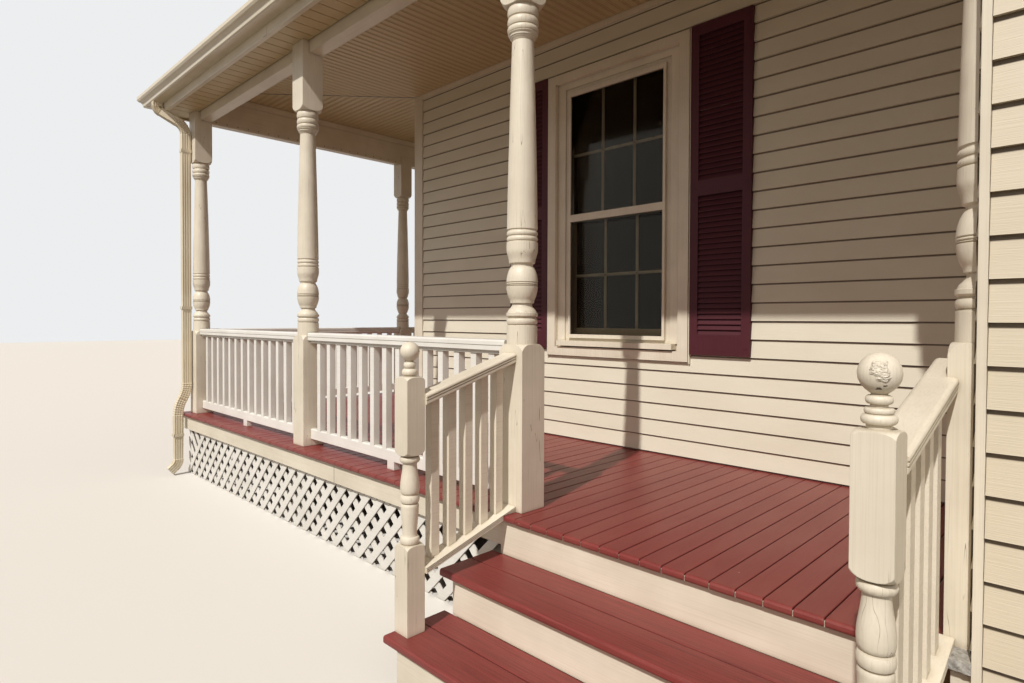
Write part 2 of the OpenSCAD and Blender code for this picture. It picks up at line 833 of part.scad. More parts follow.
module upper_sash() {
  color(trim_colour) place()
    frame_xz([open_x0, meeting_z0, open_x1, open_z1],
             [open_x0 + stile_w, meeting_z0 + meeting_rail, open_x1 - stile_w, open_z1 - top_rail],
             sash_y, sash_y + sash_t);
}

module lower_sash() {
  y = sash_y + sash_t + 1;
  color(trim_colour) place()
    frame_xz([open_x0, open_z0, open_x1, meeting_z1],
             [open_x0 + stile_w, open_z0 + foot_rail, open_x1 - stile_w, meeting_z1 - meeting_rail],
             y, y + sash_t);
}

// Panes of the storm window and of the two sashes, each held by the frame round it
module window_glass() {
  storm_y = (flat_in - storm_out) / 2;
  upper_y = sash_y + sash_t / 2;
  lower_y = upper_y + sash_t + 1;
  color("#20262a") place() {
    block([storm_x0 + storm_side, storm_y, storm_z0 + storm_foot],
          [storm_x1 - storm_side, storm_y + glass_t, storm_bar_z0]);
    block([storm_x0 + storm_side, storm_y, storm_bar_z1],
          [storm_x1 - storm_side, storm_y + glass_t, storm_z1 - storm_head]);
    block([open_x0 + stile_w, upper_y, meeting_z0 + meeting_rail],
          [open_x1 - stile_w, upper_y + glass_t, open_z1 - top_rail]);
    block([open_x0 + stile_w, lower_y, open_z0 + foot_rail],
          [open_x1 - stile_w, lower_y + glass_t, meeting_z1 - meeting_rail]);
  }
}

// Field of n louvres in section: each slopes out to a lip, the next one starts under it
function louvres(z0, z1, n, yf, yb) = let (p = (z1 - z0) / n) concat(
  [for (i = [0 : n - 1]) each [[yf, z0 + i * p], [yf, z0 + i * p + louvre_lip],
    [yb, z0 + (i + 1) * p + (i == n - 1 ? 0 : louvre_lip)]]],
  [[0, z1], [0, z0]]);

// Louvred shutter of two fields, with its left edge at x
module shutter(x) {
  face = -shutter_t;
  yf = face + louvre_in;
  yb = yf + louvre_depth;
  in = shutter_w - 2 * shutter_stile;
  color(plum_colour) place() union() {
    difference() {
      block([x, face, shutter_z0], [x + shutter_w, 0, shutter_z1]);
      for (i = [0, 1])
        block([x + shutter_stile, face - 1, louvre_z[2 * i]],
              [x + shutter_stile + in, 1, louvre_z[2 * i + 1]]);
    }
    for (i = [0, 1])
      translate([x + shutter_stile - 1, 0, 0]) rotate([90, 0, 90]) linear_extrude(in + 2)
        polygon(louvres(louvre_z[2 * i], louvre_z[2 * i + 1], louvre_n[i], yf, yb));
  }
}

module shutter_left() {
  shutter(win_x0 - shutter_gap - shutter_w);
}

module shutter_right() {
  shutter(win_x1 + shutter_gap);
}

front_wall();
side_wall();
right_wall_side();
right_wall_front();
deck_front();
deck_side();
front_joists();
side_joists();
front_piers();
side_piers();
skirt_front();
skirt_side();
skirt_end();
lattice_front();
lattice_side();
lattice_end();
lower_tread();
upper_tread();
risers();
stringers();
corner_post();
middle_post();
stair_post();
side_post();
end_post();
wall_post();
left_newel();
right_newel();
railing_front_left();
railing_front_right();
railing_side_front();
railing_side_back();
railing_end();
stair_rail_left();
stair_rail_right();
beam_front();
beam_side();
beam_end();
ceiling_front();
ceiling_side();
eave_front();
eave_side();
gable_end();
gutter_front();
gutter_side();
downspout();
roof_front();
roof_side();
window_casing();
upper_sash();
lower_sash();
window_glass();
shutter_left();
shutter_right();
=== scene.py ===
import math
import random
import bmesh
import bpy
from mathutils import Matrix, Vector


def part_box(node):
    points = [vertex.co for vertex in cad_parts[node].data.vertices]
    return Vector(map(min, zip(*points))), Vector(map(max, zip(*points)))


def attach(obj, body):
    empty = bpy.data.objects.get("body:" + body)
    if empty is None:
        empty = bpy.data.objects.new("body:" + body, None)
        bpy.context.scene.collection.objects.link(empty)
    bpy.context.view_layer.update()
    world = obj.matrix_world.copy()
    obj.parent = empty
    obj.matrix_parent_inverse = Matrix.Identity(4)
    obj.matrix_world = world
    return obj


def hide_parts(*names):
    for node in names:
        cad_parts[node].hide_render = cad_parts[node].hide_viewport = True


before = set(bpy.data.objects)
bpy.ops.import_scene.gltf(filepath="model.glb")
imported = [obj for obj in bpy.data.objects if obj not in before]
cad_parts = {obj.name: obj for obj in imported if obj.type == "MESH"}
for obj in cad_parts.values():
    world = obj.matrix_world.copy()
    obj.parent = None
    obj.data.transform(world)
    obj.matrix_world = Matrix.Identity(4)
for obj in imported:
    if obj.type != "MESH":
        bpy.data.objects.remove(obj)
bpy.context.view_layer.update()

# %% [markdown]
# A covered front porch that wraps the corner of a clapboard house. The solids come
# from the CAD model: posts, railings, beams, steps, gutters and walls. This script
# paints them and adds the thin coverings that a builder nails on afterwards: vinyl
# siding, deck boards, beaded soffit, shingles, trim strips and flashing.
#
# All places are in mm from the foot of the house corner, x along the front, y into the
# house and z up from the foot of the steps. A carpenter would measure from there too.

house_corner = Vector(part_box("front_wall")[0])
deck = 525
ceiling_z = deck + 2790
wall_end = 4290


def metres(x, y, z):
    """Point in the row frame from mm off the house corner, z above the foot of the steps."""
    return house_corner + Vector((x, y, z)) / 1000


print("house corner at", tuple(round(v, 3) for v in house_corner))

# %% [markdown]
# The camera stands where the photograph was taken: in front of the right end of the
# porch, its eye 1.35 m above the floor, looking along the diagonal at the corner of
# the house. It could be aimed at a target, but a matrix built from three directions
# holds the small tilt and roll too. The lens comes from the two vanishing points of
# the railings.

# %% Camera
eye = metres(4553, -3367, deck + 822)
turn = math.radians(45.1)
tilt = math.radians(-1.0)
roll = math.radians(0.2)
focal_px = 625.5
shift_px = -11.1
width_px = 1024

ahead = Vector((-math.cos(turn), math.sin(turn), 0))
right = Vector((math.sin(turn), math.cos(turn), 0))
upward = Vector((0, 0, 1))
look = ahead * math.cos(tilt) + upward * math.sin(tilt)
top = upward * math.cos(tilt) - ahead * math.sin(tilt)
side = right * math.cos(roll) + top * math.sin(roll)
top = top * math.cos(roll) - right * math.sin(roll)
lens = bpy.data.cameras.new("camera")
lens.sensor_width = 36
lens.lens = lens.sensor_width * focal_px / width_px
lens.shift_y = shift_px / width_px
camera = bpy.data.objects.new("camera", lens)
bpy.context.collection.objects.link(camera)
camera.matrix_world = Matrix.Translation(eye) @ Matrix((side, top, -look)).transposed().to_4x4()
bpy.context.scene.camera = camera
bpy.context.scene.view_settings.view_transform = "Standard"
print("lens %.1f mm, eye at %.2f m" % (lens.lens, eye.z))

# %% [markdown]
# Every colour below is written as on a paint card, in sRGB, and turned to linear
# light here, which is what the shaders count in. add() makes one shader node and
# links or sets its inputs, so that a material reads from top to bottom.


# %% Colours and nodes
def linear(code):
    """Linear RGBA from a hex colour such as EDE3CE."""
    values = [int(code[i:i + 2], 16) / 255 for i in (0, 2, 4)]
    return [v / 12.92 if v < 0.04045 else ((v + 0.055) / 1.055) ** 2.4 for v in values] + [1]


def add(tree, kind, inputs=(), **settings):
    """One node; each input is a value, or the socket to link it from."""
    node = tree.nodes.new(kind)
    for name, value in settings.items():
        setattr(node, name, value)
    for name, value in dict(inputs).items():
        if isinstance(value, bpy.types.NodeSocket):
            tree.links.new(value, node.inputs[name])
        else:
            node.inputs[name].default_value = value
    return node


print("middle grey 808080 is", round(linear("808080")[0], 3), "in linear light")

# %% [markdown]
# The porch stands on one large pale sheet, as in a studio. Such a sheet would light the
# ceilings from below, far more than they are lit outdoors. It could be made smaller, but
# then its edge would show. So it is pale where it is seen, and dull to light on its way.


# %% Floor
def seen_directly(tree):
    """1 for what the camera, a mirror or a clear pane shows, 0 for light on its way."""
    path = add(tree, "ShaderNodeLightPath")
    seen = add(tree, "ShaderNodeMath", {0: path.outputs["Is Camera Ray"],
               1: path.outputs["Is Glossy Ray"]}, operation="MAXIMUM")
    seen = add(tree, "ShaderNodeMath", {0: seen.outputs[0],
               1: path.outputs["Is Transmission Ray"]}, operation="MAXIMUM")
    return seen.outputs[0]


def floor():
    """Large pale sheet below the porch, which throws back less light than it shows."""
    reach = 40
    sheet = bpy.data.meshes.new("floor")
    sheet.from_pydata([(-reach, -reach, 0), (reach, -reach, 0), (reach, reach, 0), (-reach, reach, 0)],
                      [], [(0, 1, 2, 3)])
    material = bpy.data.materials.new("floor")
    material.use_nodes = True
    tree = material.node_tree
    colour = add(tree, "ShaderNodeMix", {0: seen_directly(tree), 6: linear("5F5647"),
                 7: linear("E9E7E2")}, data_type="RGBA")
    shader = tree.nodes["Principled BSDF"]
    tree.links.new(colour.outputs[2], shader.inputs["Base Color"])
    shader.inputs["Roughness"].default_value = 0.9
    sheet.materials.append(material)
    piece = bpy.data.objects.new("floor", sheet)
    bpy.context.collection.objects.link(piece)


floor()
print("floor laid")

# %% [markdown]
# Light: a warm soft fill from all round, a sun over the camera's left shoulder, 45
# degrees up, and a weak wide lamp from behind the camera. A picture of light from all
# sides could do it too, but three plain sources are easy to set one by one. The sun's
# level shows white paint just below white. The camera itself sees a pale even background.


# %% World and lamps
def world_light():
    """World that is pale to the camera and a soft fill light for everything else."""
    world = bpy.data.worlds.new("studio")
    bpy.context.scene.world = world
    world.use_nodes = True
    tree = world.node_tree
    tree.nodes.clear()
    fill = add(tree, "ShaderNodeBackground", {"Color": linear("FFEEDF"), "Strength": 0.36})
    pale = add(tree, "ShaderNodeBackground", {"Color": linear("EDEEEF"), "Strength": 1})
    mix = add(tree, "ShaderNodeMixShader", {0: seen_directly(tree), 1: fill.outputs[0],
              2: pale.outputs[0]})
    add(tree, "ShaderNodeOutputWorld", {"Surface": mix.outputs[0]})


def lamp(name, towards, strength, spread, code):
    """Distant lamp that shines along a direction, with soft shadows."""
    light = bpy.data.lights.new(name, "SUN")
    light.energy = strength
    light.angle = math.radians(spread)
    light.color = linear(code)[:3]
    piece = bpy.data.objects.new(name, light)
    piece.rotation_euler = Vector(towards).to_track_quat("-Z", "Y").to_euler()
    bpy.context.collection.objects.link(piece)


world_light()
lamp("key", (-0.178, 0.679, -0.712), 3.1, 1, "FFFAF3")
lamp("fill", (-0.9, 0.5, -0.25), 0.3, 60, "F2F6FF")
print("sun %.0f degrees up" % math.degrees(math.asin(0.712)))

# %% [markdown]
# Layers that several materials share: darkening where two parts meet, partly dirt that
# settles there and partly painted shade, and the fine checks that open in timber as it
# dries, always along the fibres. They could be painted by hand, but an occlusion test and
# a stretched noise find the right places by themselves. The size of every pattern is
# given in mm. It is the real size, unless a comment says that it is drawn coarser, so
# that it shows.


# %% Dirt and painted shade, checks and the shader
def start(name, slot):
    """Empty material with its slot noted, and its node tree."""
    material = bpy.data.materials.new(name)
    material.use_nodes = True
    material["slot"] = slot
    material.node_tree.nodes.clear()
    return material, material.node_tree


def stretched(tree, sizes):
    """Texture coordinates in which one unit is as long as a feature, whose sizes are in mm."""
    place = add(tree, "ShaderNodeTexCoord")
    scale = [1000 / size for size in sizes]
    return add(tree, "ShaderNodeMapping", {"Vector": place.outputs["Object"], "Scale": scale}).outputs[0]


def along_grain(grain, along, across):
    """Sizes on x, y and z of a feature that is drawn out along the grain, in mm."""
    return [along if axis == grain else across for axis in "xyz"]


def dirt_and_shade_in_corners(tree, colour, dirt, reach, amount):
    """Colour darkened in the corners, as far out as reach, in metres: partly dirt, partly painted shade.
    """
    corner = add(tree, "ShaderNodeAmbientOcclusion", {"Distance": reach}, samples=4)
    hollow = add(tree, "ShaderNodeMapRange", {"Value": corner.outputs["AO"], "From Min": 0.3,
                 "From Max": 0.85, "To Min": amount, "To Max": 0.0})
    return add(tree, "ShaderNodeMix", {0: hollow.outputs[0], 6: colour, 7: linear(dirt)},
               data_type="RGBA").outputs[2]


def checks(tree, grain, width):
    """Amount of drying checks: thin lines along the grain, in patches; width is in noise levels."""
    line = add(tree, "ShaderNodeTexNoise", {"Vector": stretched(tree, along_grain(grain, 830, 29.4)),
               "Scale": 1.0, "Detail": 1})
    off = add(tree, "ShaderNodeMath", {0: line.outputs[0], 1: 0.5}, operation="SUBTRACT")
    off = add(tree, "ShaderNodeMath", {0: off.outputs[0]}, operation="ABSOLUTE")
    thin = add(tree, "ShaderNodeMapRange", {"Value": off.outputs[0], "From Min": width * 0.4,
               "From Max": width, "To Min": 1.0, "To Max": 0.0})
    patch = add(tree, "ShaderNodeTexNoise", {"Vector": stretched(tree, (167, 167, 167)), "Scale": 1.0})
    where = add(tree, "ShaderNodeMapRange", {"Value": patch.outputs[0], "From Min": 0.52,
                "From Max": 0.6, "To Max": 0.75})
    return add(tree, "ShaderNodeMath", {0: thin.outputs[0], 1: where.outputs[0]},
               operation="MULTIPLY").outputs[0]


def distance_to(tree, x, y, z, height=1.0):
    """Distance in metres from a place in mm; a height under 1 makes a round spot flatter."""
    point = add(tree, "ShaderNodeTexCoord")
    off = add(tree, "ShaderNodeVectorMath", {0: point.outputs["Object"], 1: tuple(metres(x, y, z))},
              operation="SUBTRACT")
    off = add(tree, "ShaderNodeMapping", {"Vector": off.outputs[0], "Scale": (1, 1, 1 / height)})
    return add(tree, "ShaderNodeVectorMath", {0: off.outputs[0]}, operation="LENGTH").outputs["Value"]


def finish_material(tree, inputs):
    """Principled shader and output for a tree."""
    shader = add(tree, "ShaderNodeBsdfPrincipled", inputs)
    add(tree, "ShaderNodeOutputMaterial", {"Surface": shader.outputs[0]})


print("checks in an upright post wander over", along_grain("z", 830, 29.4), "mm on x, y, z")

# %% [markdown]
# Old oil paint fails where end grain drinks water, as on the ball of a newel: it comes
# off in flakes, brown weathered wood shows, and round them the film lifts in wrinkles.
# The flakes could be cut into the mesh, but the film is thinner than a hair. A spot of
# colour with a ragged edge is enough, and a bump 6 mm high draws the wrinkles. Real
# ones stand about 1 mm high. They are drawn higher, so that the light catches them.


# %% Paint film and its flaws
def chipped(tree, base, chips):
    """Colour with bare wood in ragged spots, each an (x, y, z, radius) in mm, wider than high."""
    for x, y, z, radius in chips:
        far = distance_to(tree, x, y, z, 1 / 2.2)
        ragged = add(tree, "ShaderNodeTexNoise", {"Vector": stretched(tree, (6.25, 6.25, 6.25)),
                     "Scale": 1.0, "Detail": 2})
        edge = add(tree, "ShaderNodeMath", {0: ragged.outputs[0], 1: radius / 1000, 2: far},
                   operation="MULTIPLY_ADD")
        bare = add(tree, "ShaderNodeMapRange", {"Value": edge.outputs[0],
                   "From Min": radius / 1000, "From Max": (radius + 0.8) / 1000, "To Min": 1.0,
                   "To Max": 0.0})
        base = add(tree, "ShaderNodeMix", {0: bare.outputs[0], 6: base, 7: linear("4A3A28")},
                   data_type="RGBA").outputs[2]
    return base


def lifted(tree, normal, x, y, z, reach):
    """Normal with wrinkles where the film has come loose, about a place in mm."""
    radius = reach / 1000
    wrinkle = add(tree, "ShaderNodeTexNoise", {"Vector": stretched(tree, (14.3, 14.3, 8.7)),
                  "Scale": 1.0, "Detail": 2, "Distortion": 2.0})
    ragged = add(tree, "ShaderNodeTexNoise", {"Vector": stretched(tree, (22.2, 22.2, 22.2)),
                 "Scale": 1.0, "Detail": 2})
    edge = add(tree, "ShaderNodeMath", {0: ragged.outputs[0], 1: 2.5 * radius,
               2: distance_to(tree, x, y, z)}, operation="MULTIPLY_ADD")
    loose = add(tree, "ShaderNodeMapRange", {"Value": edge.outputs[0], "From Min": 1.7 * radius,
                "From Max": 2.1 * radius, "To Min": 1.0, "To Max": 0.0})
    swollen = add(tree, "ShaderNodeMath", {0: wrinkle.outputs[0], 1: loose.outputs[0]},
                  operation="MULTIPLY")
    return add(tree, "ShaderNodeBump", {"Height": swollen.outputs[0], "Distance": 0.006,
               "Strength": 1.0, "Normal": normal}).outputs[0]


print("flaws: bare chips as (x, y, z, radius), and one patch where the film is loose")

# %% [markdown]
# Oil paint on pine and cedar, brushed on in many coats. The film is smooth and satin,
# but the grain prints through it in long fine ridges, and it yellows in blotches 250 mm
# wide. Real ridges stand 1 to 2 mm apart. They are drawn 4 mm apart, so that they show
# at this distance. It could be a picture laid over each part, but noise that is counted
# in mm fits every part with no stretching. A bevel inside the shader rounds the arrises
# to 2.5 mm, as many coats of paint do, and gives them the thin bright line that the
# eye expects.


# %% Painted timber
def timber_paint(name, slot, code, dirt, grain, roughness, ridge=0.0006, crack=0.0, chips=(),
                 lifting=None, specular=0.5):
    """Oil paint over timber whose fibres run along grain.

    Chips, and the patch where the paint is lifting, are (x, y, z, radius) in mm.
    """
    material, tree = start(name, slot)
    fibre = add(tree, "ShaderNodeTexNoise", {"Vector": stretched(tree, along_grain(grain, 333, 4.17)),
                "Scale": 1.0, "Detail": 3, "Roughness": 0.6})
    blotch = add(tree, "ShaderNodeTexNoise", {"Vector": stretched(tree, (250, 250, 250)),
                 "Scale": 1.0, "Detail": 4})
    shade = add(tree, "ShaderNodeMapRange", {"Value": blotch.outputs[0], "From Min": 0.35,
                "From Max": 0.75, "To Min": 0.0, "To Max": 0.22})
    base = add(tree, "ShaderNodeMix", {0: shade.outputs[0], 6: linear(code), 7: linear(dirt)},
               data_type="RGBA").outputs[2]
    streak = add(tree, "ShaderNodeMapRange", {"Value": fibre.outputs[0], "From Min": 0.45,
                 "From Max": 0.75, "To Min": 0.0, "To Max": 0.14})
    base = add(tree, "ShaderNodeMix", {0: streak.outputs[0], 6: base, 7: linear(dirt)},
               data_type="RGBA").outputs[2]
    base = chipped(tree, base, chips)
    if crack:
        base = add(tree, "ShaderNodeMix", {0: checks(tree, grain, crack), 6: base,
                   7: linear("6B583F")}, data_type="RGBA").outputs[2]
    # Dirt and painted shade where parts meet.
    soiled_and_shaded = dirt_and_shade_in_corners(tree, base, dirt, 0.022, 0.62)
    rounded = add(tree, "ShaderNodeBevel", {"Radius": 0.0025}, samples=3)
    normal = rounded.outputs[0]
    if lifting:
        normal = lifted(tree, normal, *lifting)
    bump = add(tree, "ShaderNodeBump", {"Height": fibre.outputs[0], "Distance": ridge,
               "Strength": 0.6, "Normal": normal})
    finish_material(tree, {"Base Color": soiled_and_shaded, "Roughness": roughness, "IOR": 1.5,
                    "Specular IOR Level": specular, "Normal": bump.outputs[0]})
    return material


cream = ("trim", "EFE7D5", "8E7B5C")
white = ("white_paint", "F7F6F1", "A79E8C")
cream_up = timber_paint("cream oil paint, upright grain", *cream, "z", 0.42)
newel_chips = [(4204, -2011, 1216, 14), (4215, -2012, 1222, 7), (4190, -2024, 1252, 4)]
cream_worn = timber_paint("cream oil paint, checked and flaking", *cream, "z", 0.45, 0.0009, 0.0035,
                          newel_chips, (4205, -2023, 1254, 28))
cream_turned = timber_paint("cream oil paint on turned cedar", *cream, "z", 0.42, 0.0007, 0.0035)
cream_long = timber_paint("cream oil paint, grain along the front", *cream, "x", 0.42)
cream_deep = timber_paint("cream oil paint, grain into the depth", *cream, "y", 0.42)
white_long = timber_paint("white gloss paint, grain along the front", *white, "x", 0.32)
white_deep = timber_paint("white gloss paint, grain into the depth", *white, "y", 0.32)
plum = timber_paint("plum satin paint", "shutter_paint", "52242C", "2B151C", "z", 0.55,
                    specular=0.25)
lumber = timber_paint("treated pine", "lumber", "A98A5E", "6E5738", "x", 0.75, 0.001)
print(len([m for m in bpy.data.materials if "slot" in m]), "paints on timber")

# %% [markdown]
# Vinyl siding is extruded plastic, coloured right through, and rolled hot with a long
# wood grain. That makes it satin and even, with a soft sheen and no brush marks. The
# real grain is about 1 mm fine. It is drawn 2.4 mm high and 111 mm long, so that it
# shows. A brown line is painted below each butt: partly dust, which rain misses there,
# and partly painted shadow of the butt. The line is worked out from the height above
# the first butt: that keeps it in its place on every wall, where a painted picture would
# have to be fitted.


# %% Vinyl
def vinyl(name, slot, code, dirt, grain, dust_and_shadow=0.0):
    """Moulded vinyl with an embossed grain, satin; the last argument is the height in mm of a brown line
    under each butt, partly dust and partly painted shadow.
    """
    material, tree = start(name, slot)
    emboss = add(tree, "ShaderNodeTexNoise", {"Vector": stretched(tree, {"x": (111, 16.7, 2.4),
                 "y": (16.7, 111, 2.4)}[grain]), "Scale": 1.0, "Detail": 2, "Distortion": 0.4})
    blotch = add(tree, "ShaderNodeTexNoise", {"Vector": stretched(tree, (500, 500, 200)),
                 "Scale": 1.0, "Detail": 3})
    shade = add(tree, "ShaderNodeMapRange", {"Value": blotch.outputs[0], "From Min": 0.4,
                "From Max": 0.8, "To Min": 0.0, "To Max": 0.18})
    base = add(tree, "ShaderNodeMix", {0: shade.outputs[0], 6: linear(code), 7: linear(dirt)},
               data_type="RGBA").outputs[2]
    # Brown line under each butt: dust, and painted shadow of the butt.
    if dust_and_shadow:
        height = add(tree, "ShaderNodeSeparateXYZ", {0: stretched(tree, (1000, 1000, course))})
        above = add(tree, "ShaderNodeMath", {0: height.outputs[2], 1: first_butt / course},
                    operation="SUBTRACT")
        part = add(tree, "ShaderNodeMath", {0: above.outputs[0]}, operation="FRACT")
        line = add(tree, "ShaderNodeMapRange", {"Value": part.outputs[0],
                   "From Min": 1 - (dust_and_shadow + 2) / course, "From Max": 1 - (dust_and_shadow - 1) / course,
                   "To Min": 0.0, "To Max": 0.85})
        base = add(tree, "ShaderNodeMix", {0: line.outputs[0], 6: base, 7: linear("4A3722")},
                   data_type="RGBA").outputs[2]
    # Dirt and painted shade in the grooves and corners.
    base = dirt_and_shade_in_corners(tree, base, "6A5433", 0.006, 0.35)
    bump = add(tree, "ShaderNodeBump", {"Height": emboss.outputs[0], "Distance": 0.0009,
               "Strength": 0.7})
    finish_material(tree, {"Base Color": base, "Roughness": 0.5, "IOR": 1.52,
                    "Normal": bump.outputs[0]})
    return material


course = 101.3
first_butt = deck + 8.5
beige = ("siding", "E8E3D1", "B8AC8E")
siding_x = vinyl("beige vinyl siding along the front", *beige, "x", 8)
# The wall that stands out at the right has the same vinyl as under the porch, painted darker as painted
# shade, since it gets more open sky; its brown line is higher, as painted shadow of the butts in the
# sun.
stub_siding_painted_darker = vinyl("beige vinyl siding in the sun", "siding", "D9CEB8", "B3A386", "x", 13)
siding_y = vinyl("beige vinyl siding along the side", *beige, "y", 8)
channel_vinyl = vinyl("beige vinyl channel", *beige, "x")
# The soffit is painted darker than its almond vinyl: partly its own colour, partly painted shade under
# the roof.
soffit = vinyl("almond vinyl soffit", "ceiling_paint", "D0BB92", "A68C60", "x")
print("courses of %.1f mm, the first butt at a height of %.1f mm" % (course, first_butt))

# %% [markdown]
# Barn red floor enamel, rolled on with sand in it against slipping, so the eye sees a
# dull glint broken by grit. Real grit is 0.5 mm. It is drawn 1.25 mm wide, so that it
# shows. Feet and rain wear the film in streaks 250 mm long along the boards, dust
# turns it pinkish in blotches, and it is chipped in small specks about 150 mm apart.
# Each board took the paint a little differently. Its tone could be a material for each
# board, but a number stored on its faces needs only one.


# %% Floor enamel
def floor_paint(name, grain, streaks):
    """Sanded floor enamel; streaks is how strongly the grain shows."""
    material, tree = start(name, "deck_paint")
    own = add(tree, "ShaderNodeAttribute", attribute_name="tone")
    fibre = add(tree, "ShaderNodeTexNoise", {"Vector": stretched(tree, along_grain(grain, 250, 6.7)),
                "Scale": 1.0, "Detail": 4, "Roughness": 0.65})
    blotch = add(tree, "ShaderNodeTexNoise", {"Vector": stretched(tree, along_grain(grain, 333, 111)),
                 "Scale": 1.0, "Detail": 4})
    grit = add(tree, "ShaderNodeTexNoise", {"Vector": stretched(tree, (1.25, 1.25, 1.25)),
               "Scale": 1.0, "Detail": 3})
    dark = add(tree, "ShaderNodeMapRange", {"Value": fibre.outputs[0], "From Min": 0.42,
               "From Max": 0.72, "To Min": 0.0, "To Max": streaks})
    base = add(tree, "ShaderNodeMix", {0: dark.outputs[0], 6: linear("853533"),
               7: linear("4E1A1C")}, data_type="RGBA").outputs[2]
    shade = add(tree, "ShaderNodeMath", {0: own.outputs["Fac"], 1: 0.3}, operation="MULTIPLY")
    base = add(tree, "ShaderNodeMix", {0: shade.outputs[0], 6: base, 7: linear("6A2628")},
               data_type="RGBA").outputs[2]
    dusty = add(tree, "ShaderNodeMapRange", {"Value": blotch.outputs[0], "From Min": 0.45,
                "From Max": 0.8, "To Min": 0.0, "To Max": 0.3})
    base = add(tree, "ShaderNodeMix", {0: dusty.outputs[0], 6: base, 7: linear("9C5C52")},
               data_type="RGBA").outputs[2]
    sand = add(tree, "ShaderNodeMapRange", {"Value": grit.outputs[0], "From Min": 0.35,
               "From Max": 0.7, "To Min": 0.0, "To Max": 0.2})
    base = add(tree, "ShaderNodeMix", {0: sand.outputs[0], 6: base, 7: linear("B0776C")},
               data_type="RGBA").outputs[2]
    speck = add(tree, "ShaderNodeTexVoronoi", {"Vector": stretched(tree, along_grain(grain, 167, 125)),
                "Scale": 1.0})
    chip = add(tree, "ShaderNodeMapRange", {"Value": speck.outputs["Distance"], "From Min": 0.012,
               "From Max": 0.02, "To Min": 0.8, "To Max": 0.0})
    base = add(tree, "ShaderNodeMix", {0: chip.outputs[0], 6: base, 7: linear("D9C9B0")},
               data_type="RGBA").outputs[2]
    both = add(tree, "ShaderNodeMath", {0: fibre.outputs[0], 1: grit.outputs[0]}, operation="ADD")
    rounded = add(tree, "ShaderNodeBevel", {"Radius": 0.002}, samples=3)
    bump = add(tree, "ShaderNodeBump", {"Height": both.outputs[0], "Distance": 0.0007,
               "Strength": 0.6, "Normal": rounded.outputs[0]})
    # Dirt and painted shade in the gaps between the boards.
    finish_material(tree, {"Base Color": dirt_and_shade_in_corners(tree, base, "2E1413", 0.012, 0.6), "Roughness": 0.38,
                    "IOR": 1.5, "Specular IOR Level": 0.25, "Normal": bump.outputs[0]})
    return material


deck_enamel = floor_paint("barn red floor enamel, boards front to back", "y", 0.3)
side_enamel = floor_paint("barn red floor enamel, boards across the side", "x", 0.3)
tread_enamel = floor_paint("barn red floor enamel on the treads", "x", 0.75)
print("enamels:", "; ".join(m.name for m in (deck_enamel, side_enamel, tread_enamel)))

# %% [markdown]
# Mineral and metal surfaces. Asphalt shingles are pressed with crushed slate, so they
# are matt and speckled in 1 mm grains. Concrete is cast and shows its 3 mm sand. The
# gutter is aluminium coil, enamelled and baked in a factory: almost plain, with a
# narrow bright reflection. Galvanised sheet has zinc flowers 18 mm wide and darkens in
# spots. The board behind the siding is pressed from chips 17 mm wide. All of them are
# two colours mixed by a noise as wide as their grain, so one function serves, where
# each could have had its own tree.


# %% Mineral and metal
def rough(name, slot, code, other, grain, roughness, height):
    """Grainy mineral or matt surface of two colours; grain is the size of a grain in mm."""
    material, tree = start(name, slot)
    own = add(tree, "ShaderNodeAttribute", attribute_name="tone")
    grains = add(tree, "ShaderNodeTexNoise", {"Vector": stretched(tree, (grain, grain, grain)),
                 "Scale": 1.0, "Detail": 4, "Roughness": 0.7})
    blotch = add(tree, "ShaderNodeTexNoise", {"Vector": stretched(tree, (333, 333, 333)),
                 "Scale": 1.0, "Detail": 3})
    both = add(tree, "ShaderNodeMath", {0: grains.outputs[0], 1: blotch.outputs[0]},
               operation="MULTIPLY")
    toned = add(tree, "ShaderNodeMath", {0: own.outputs["Fac"], 1: 0.12, 2: both.outputs[0]},
                operation="MULTIPLY_ADD")
    spread = add(tree, "ShaderNodeMapRange", {"Value": toned.outputs[0], "From Min": 0.14,
                 "From Max": 0.46})
    base = add(tree, "ShaderNodeMix", {0: spread.outputs[0], 6: linear(code), 7: linear(other)},
               data_type="RGBA").outputs[2]
    bump = add(tree, "ShaderNodeBump", {"Height": grains.outputs[0], "Distance": height})
    finish_material(tree, {"Base Color": base, "Roughness": roughness, "Normal": bump.outputs[0]})
    return material


shingle = rough("asphalt shingle granules", "shingle", "77706A", "4E4A46", 1.1, 0.9, 0.0015)
concrete = rough("cast concrete", "concrete", "A29D92", "7F7A70", 3.3, 0.9, 0.001)
plaster = rough("board behind the siding", "siding", "C8C2B4", "B2AA98", 17, 0.85, 0.0004)
enamel = rough("baked cream enamel on aluminium", "gutter_enamel", "E9DFC8", "DDD0B4", 200, 0.24,
               0.0001)
galvanised = rough("galvanised flashing, spotted", "gutter_enamel", "DCDBD6", "57514A", 18, 0.35,
                   0.0008)
# The same dark steel closes the ceiling mitre, where it is painted shade of the gap.
nail_steel_and_joint_shade = rough("dull nail steel", "gutter_enamel", "4A4238", "2E2822", 25, 0.5, 0.0001)
print("rough surfaces:", ", ".join(m.name for m in (shingle, concrete, plaster, enamel)))

# %% [markdown]
# Float glass sets on molten tin, so it is as flat as a mirror: the eye sees the
# dark room, and over it a clear reflection. The room could be built, but black under
# a reflection looks the same from every side. The storm window hangs outside as one
# thin sheet. It lets light straight through, which a shader that bends light would do
# with noise, and it mirrors more the flatter it is seen.


# %% Glass
def dark_glass(name, slot):
    """Float glass over a dark room: black behind a clear reflection."""
    material, tree = start(name, slot)
    finish_material(tree, {"Base Color": linear("14110F"), "Roughness": 0.03, "IOR": 1.52,
                    "Specular IOR Level": 0.2})
    return material


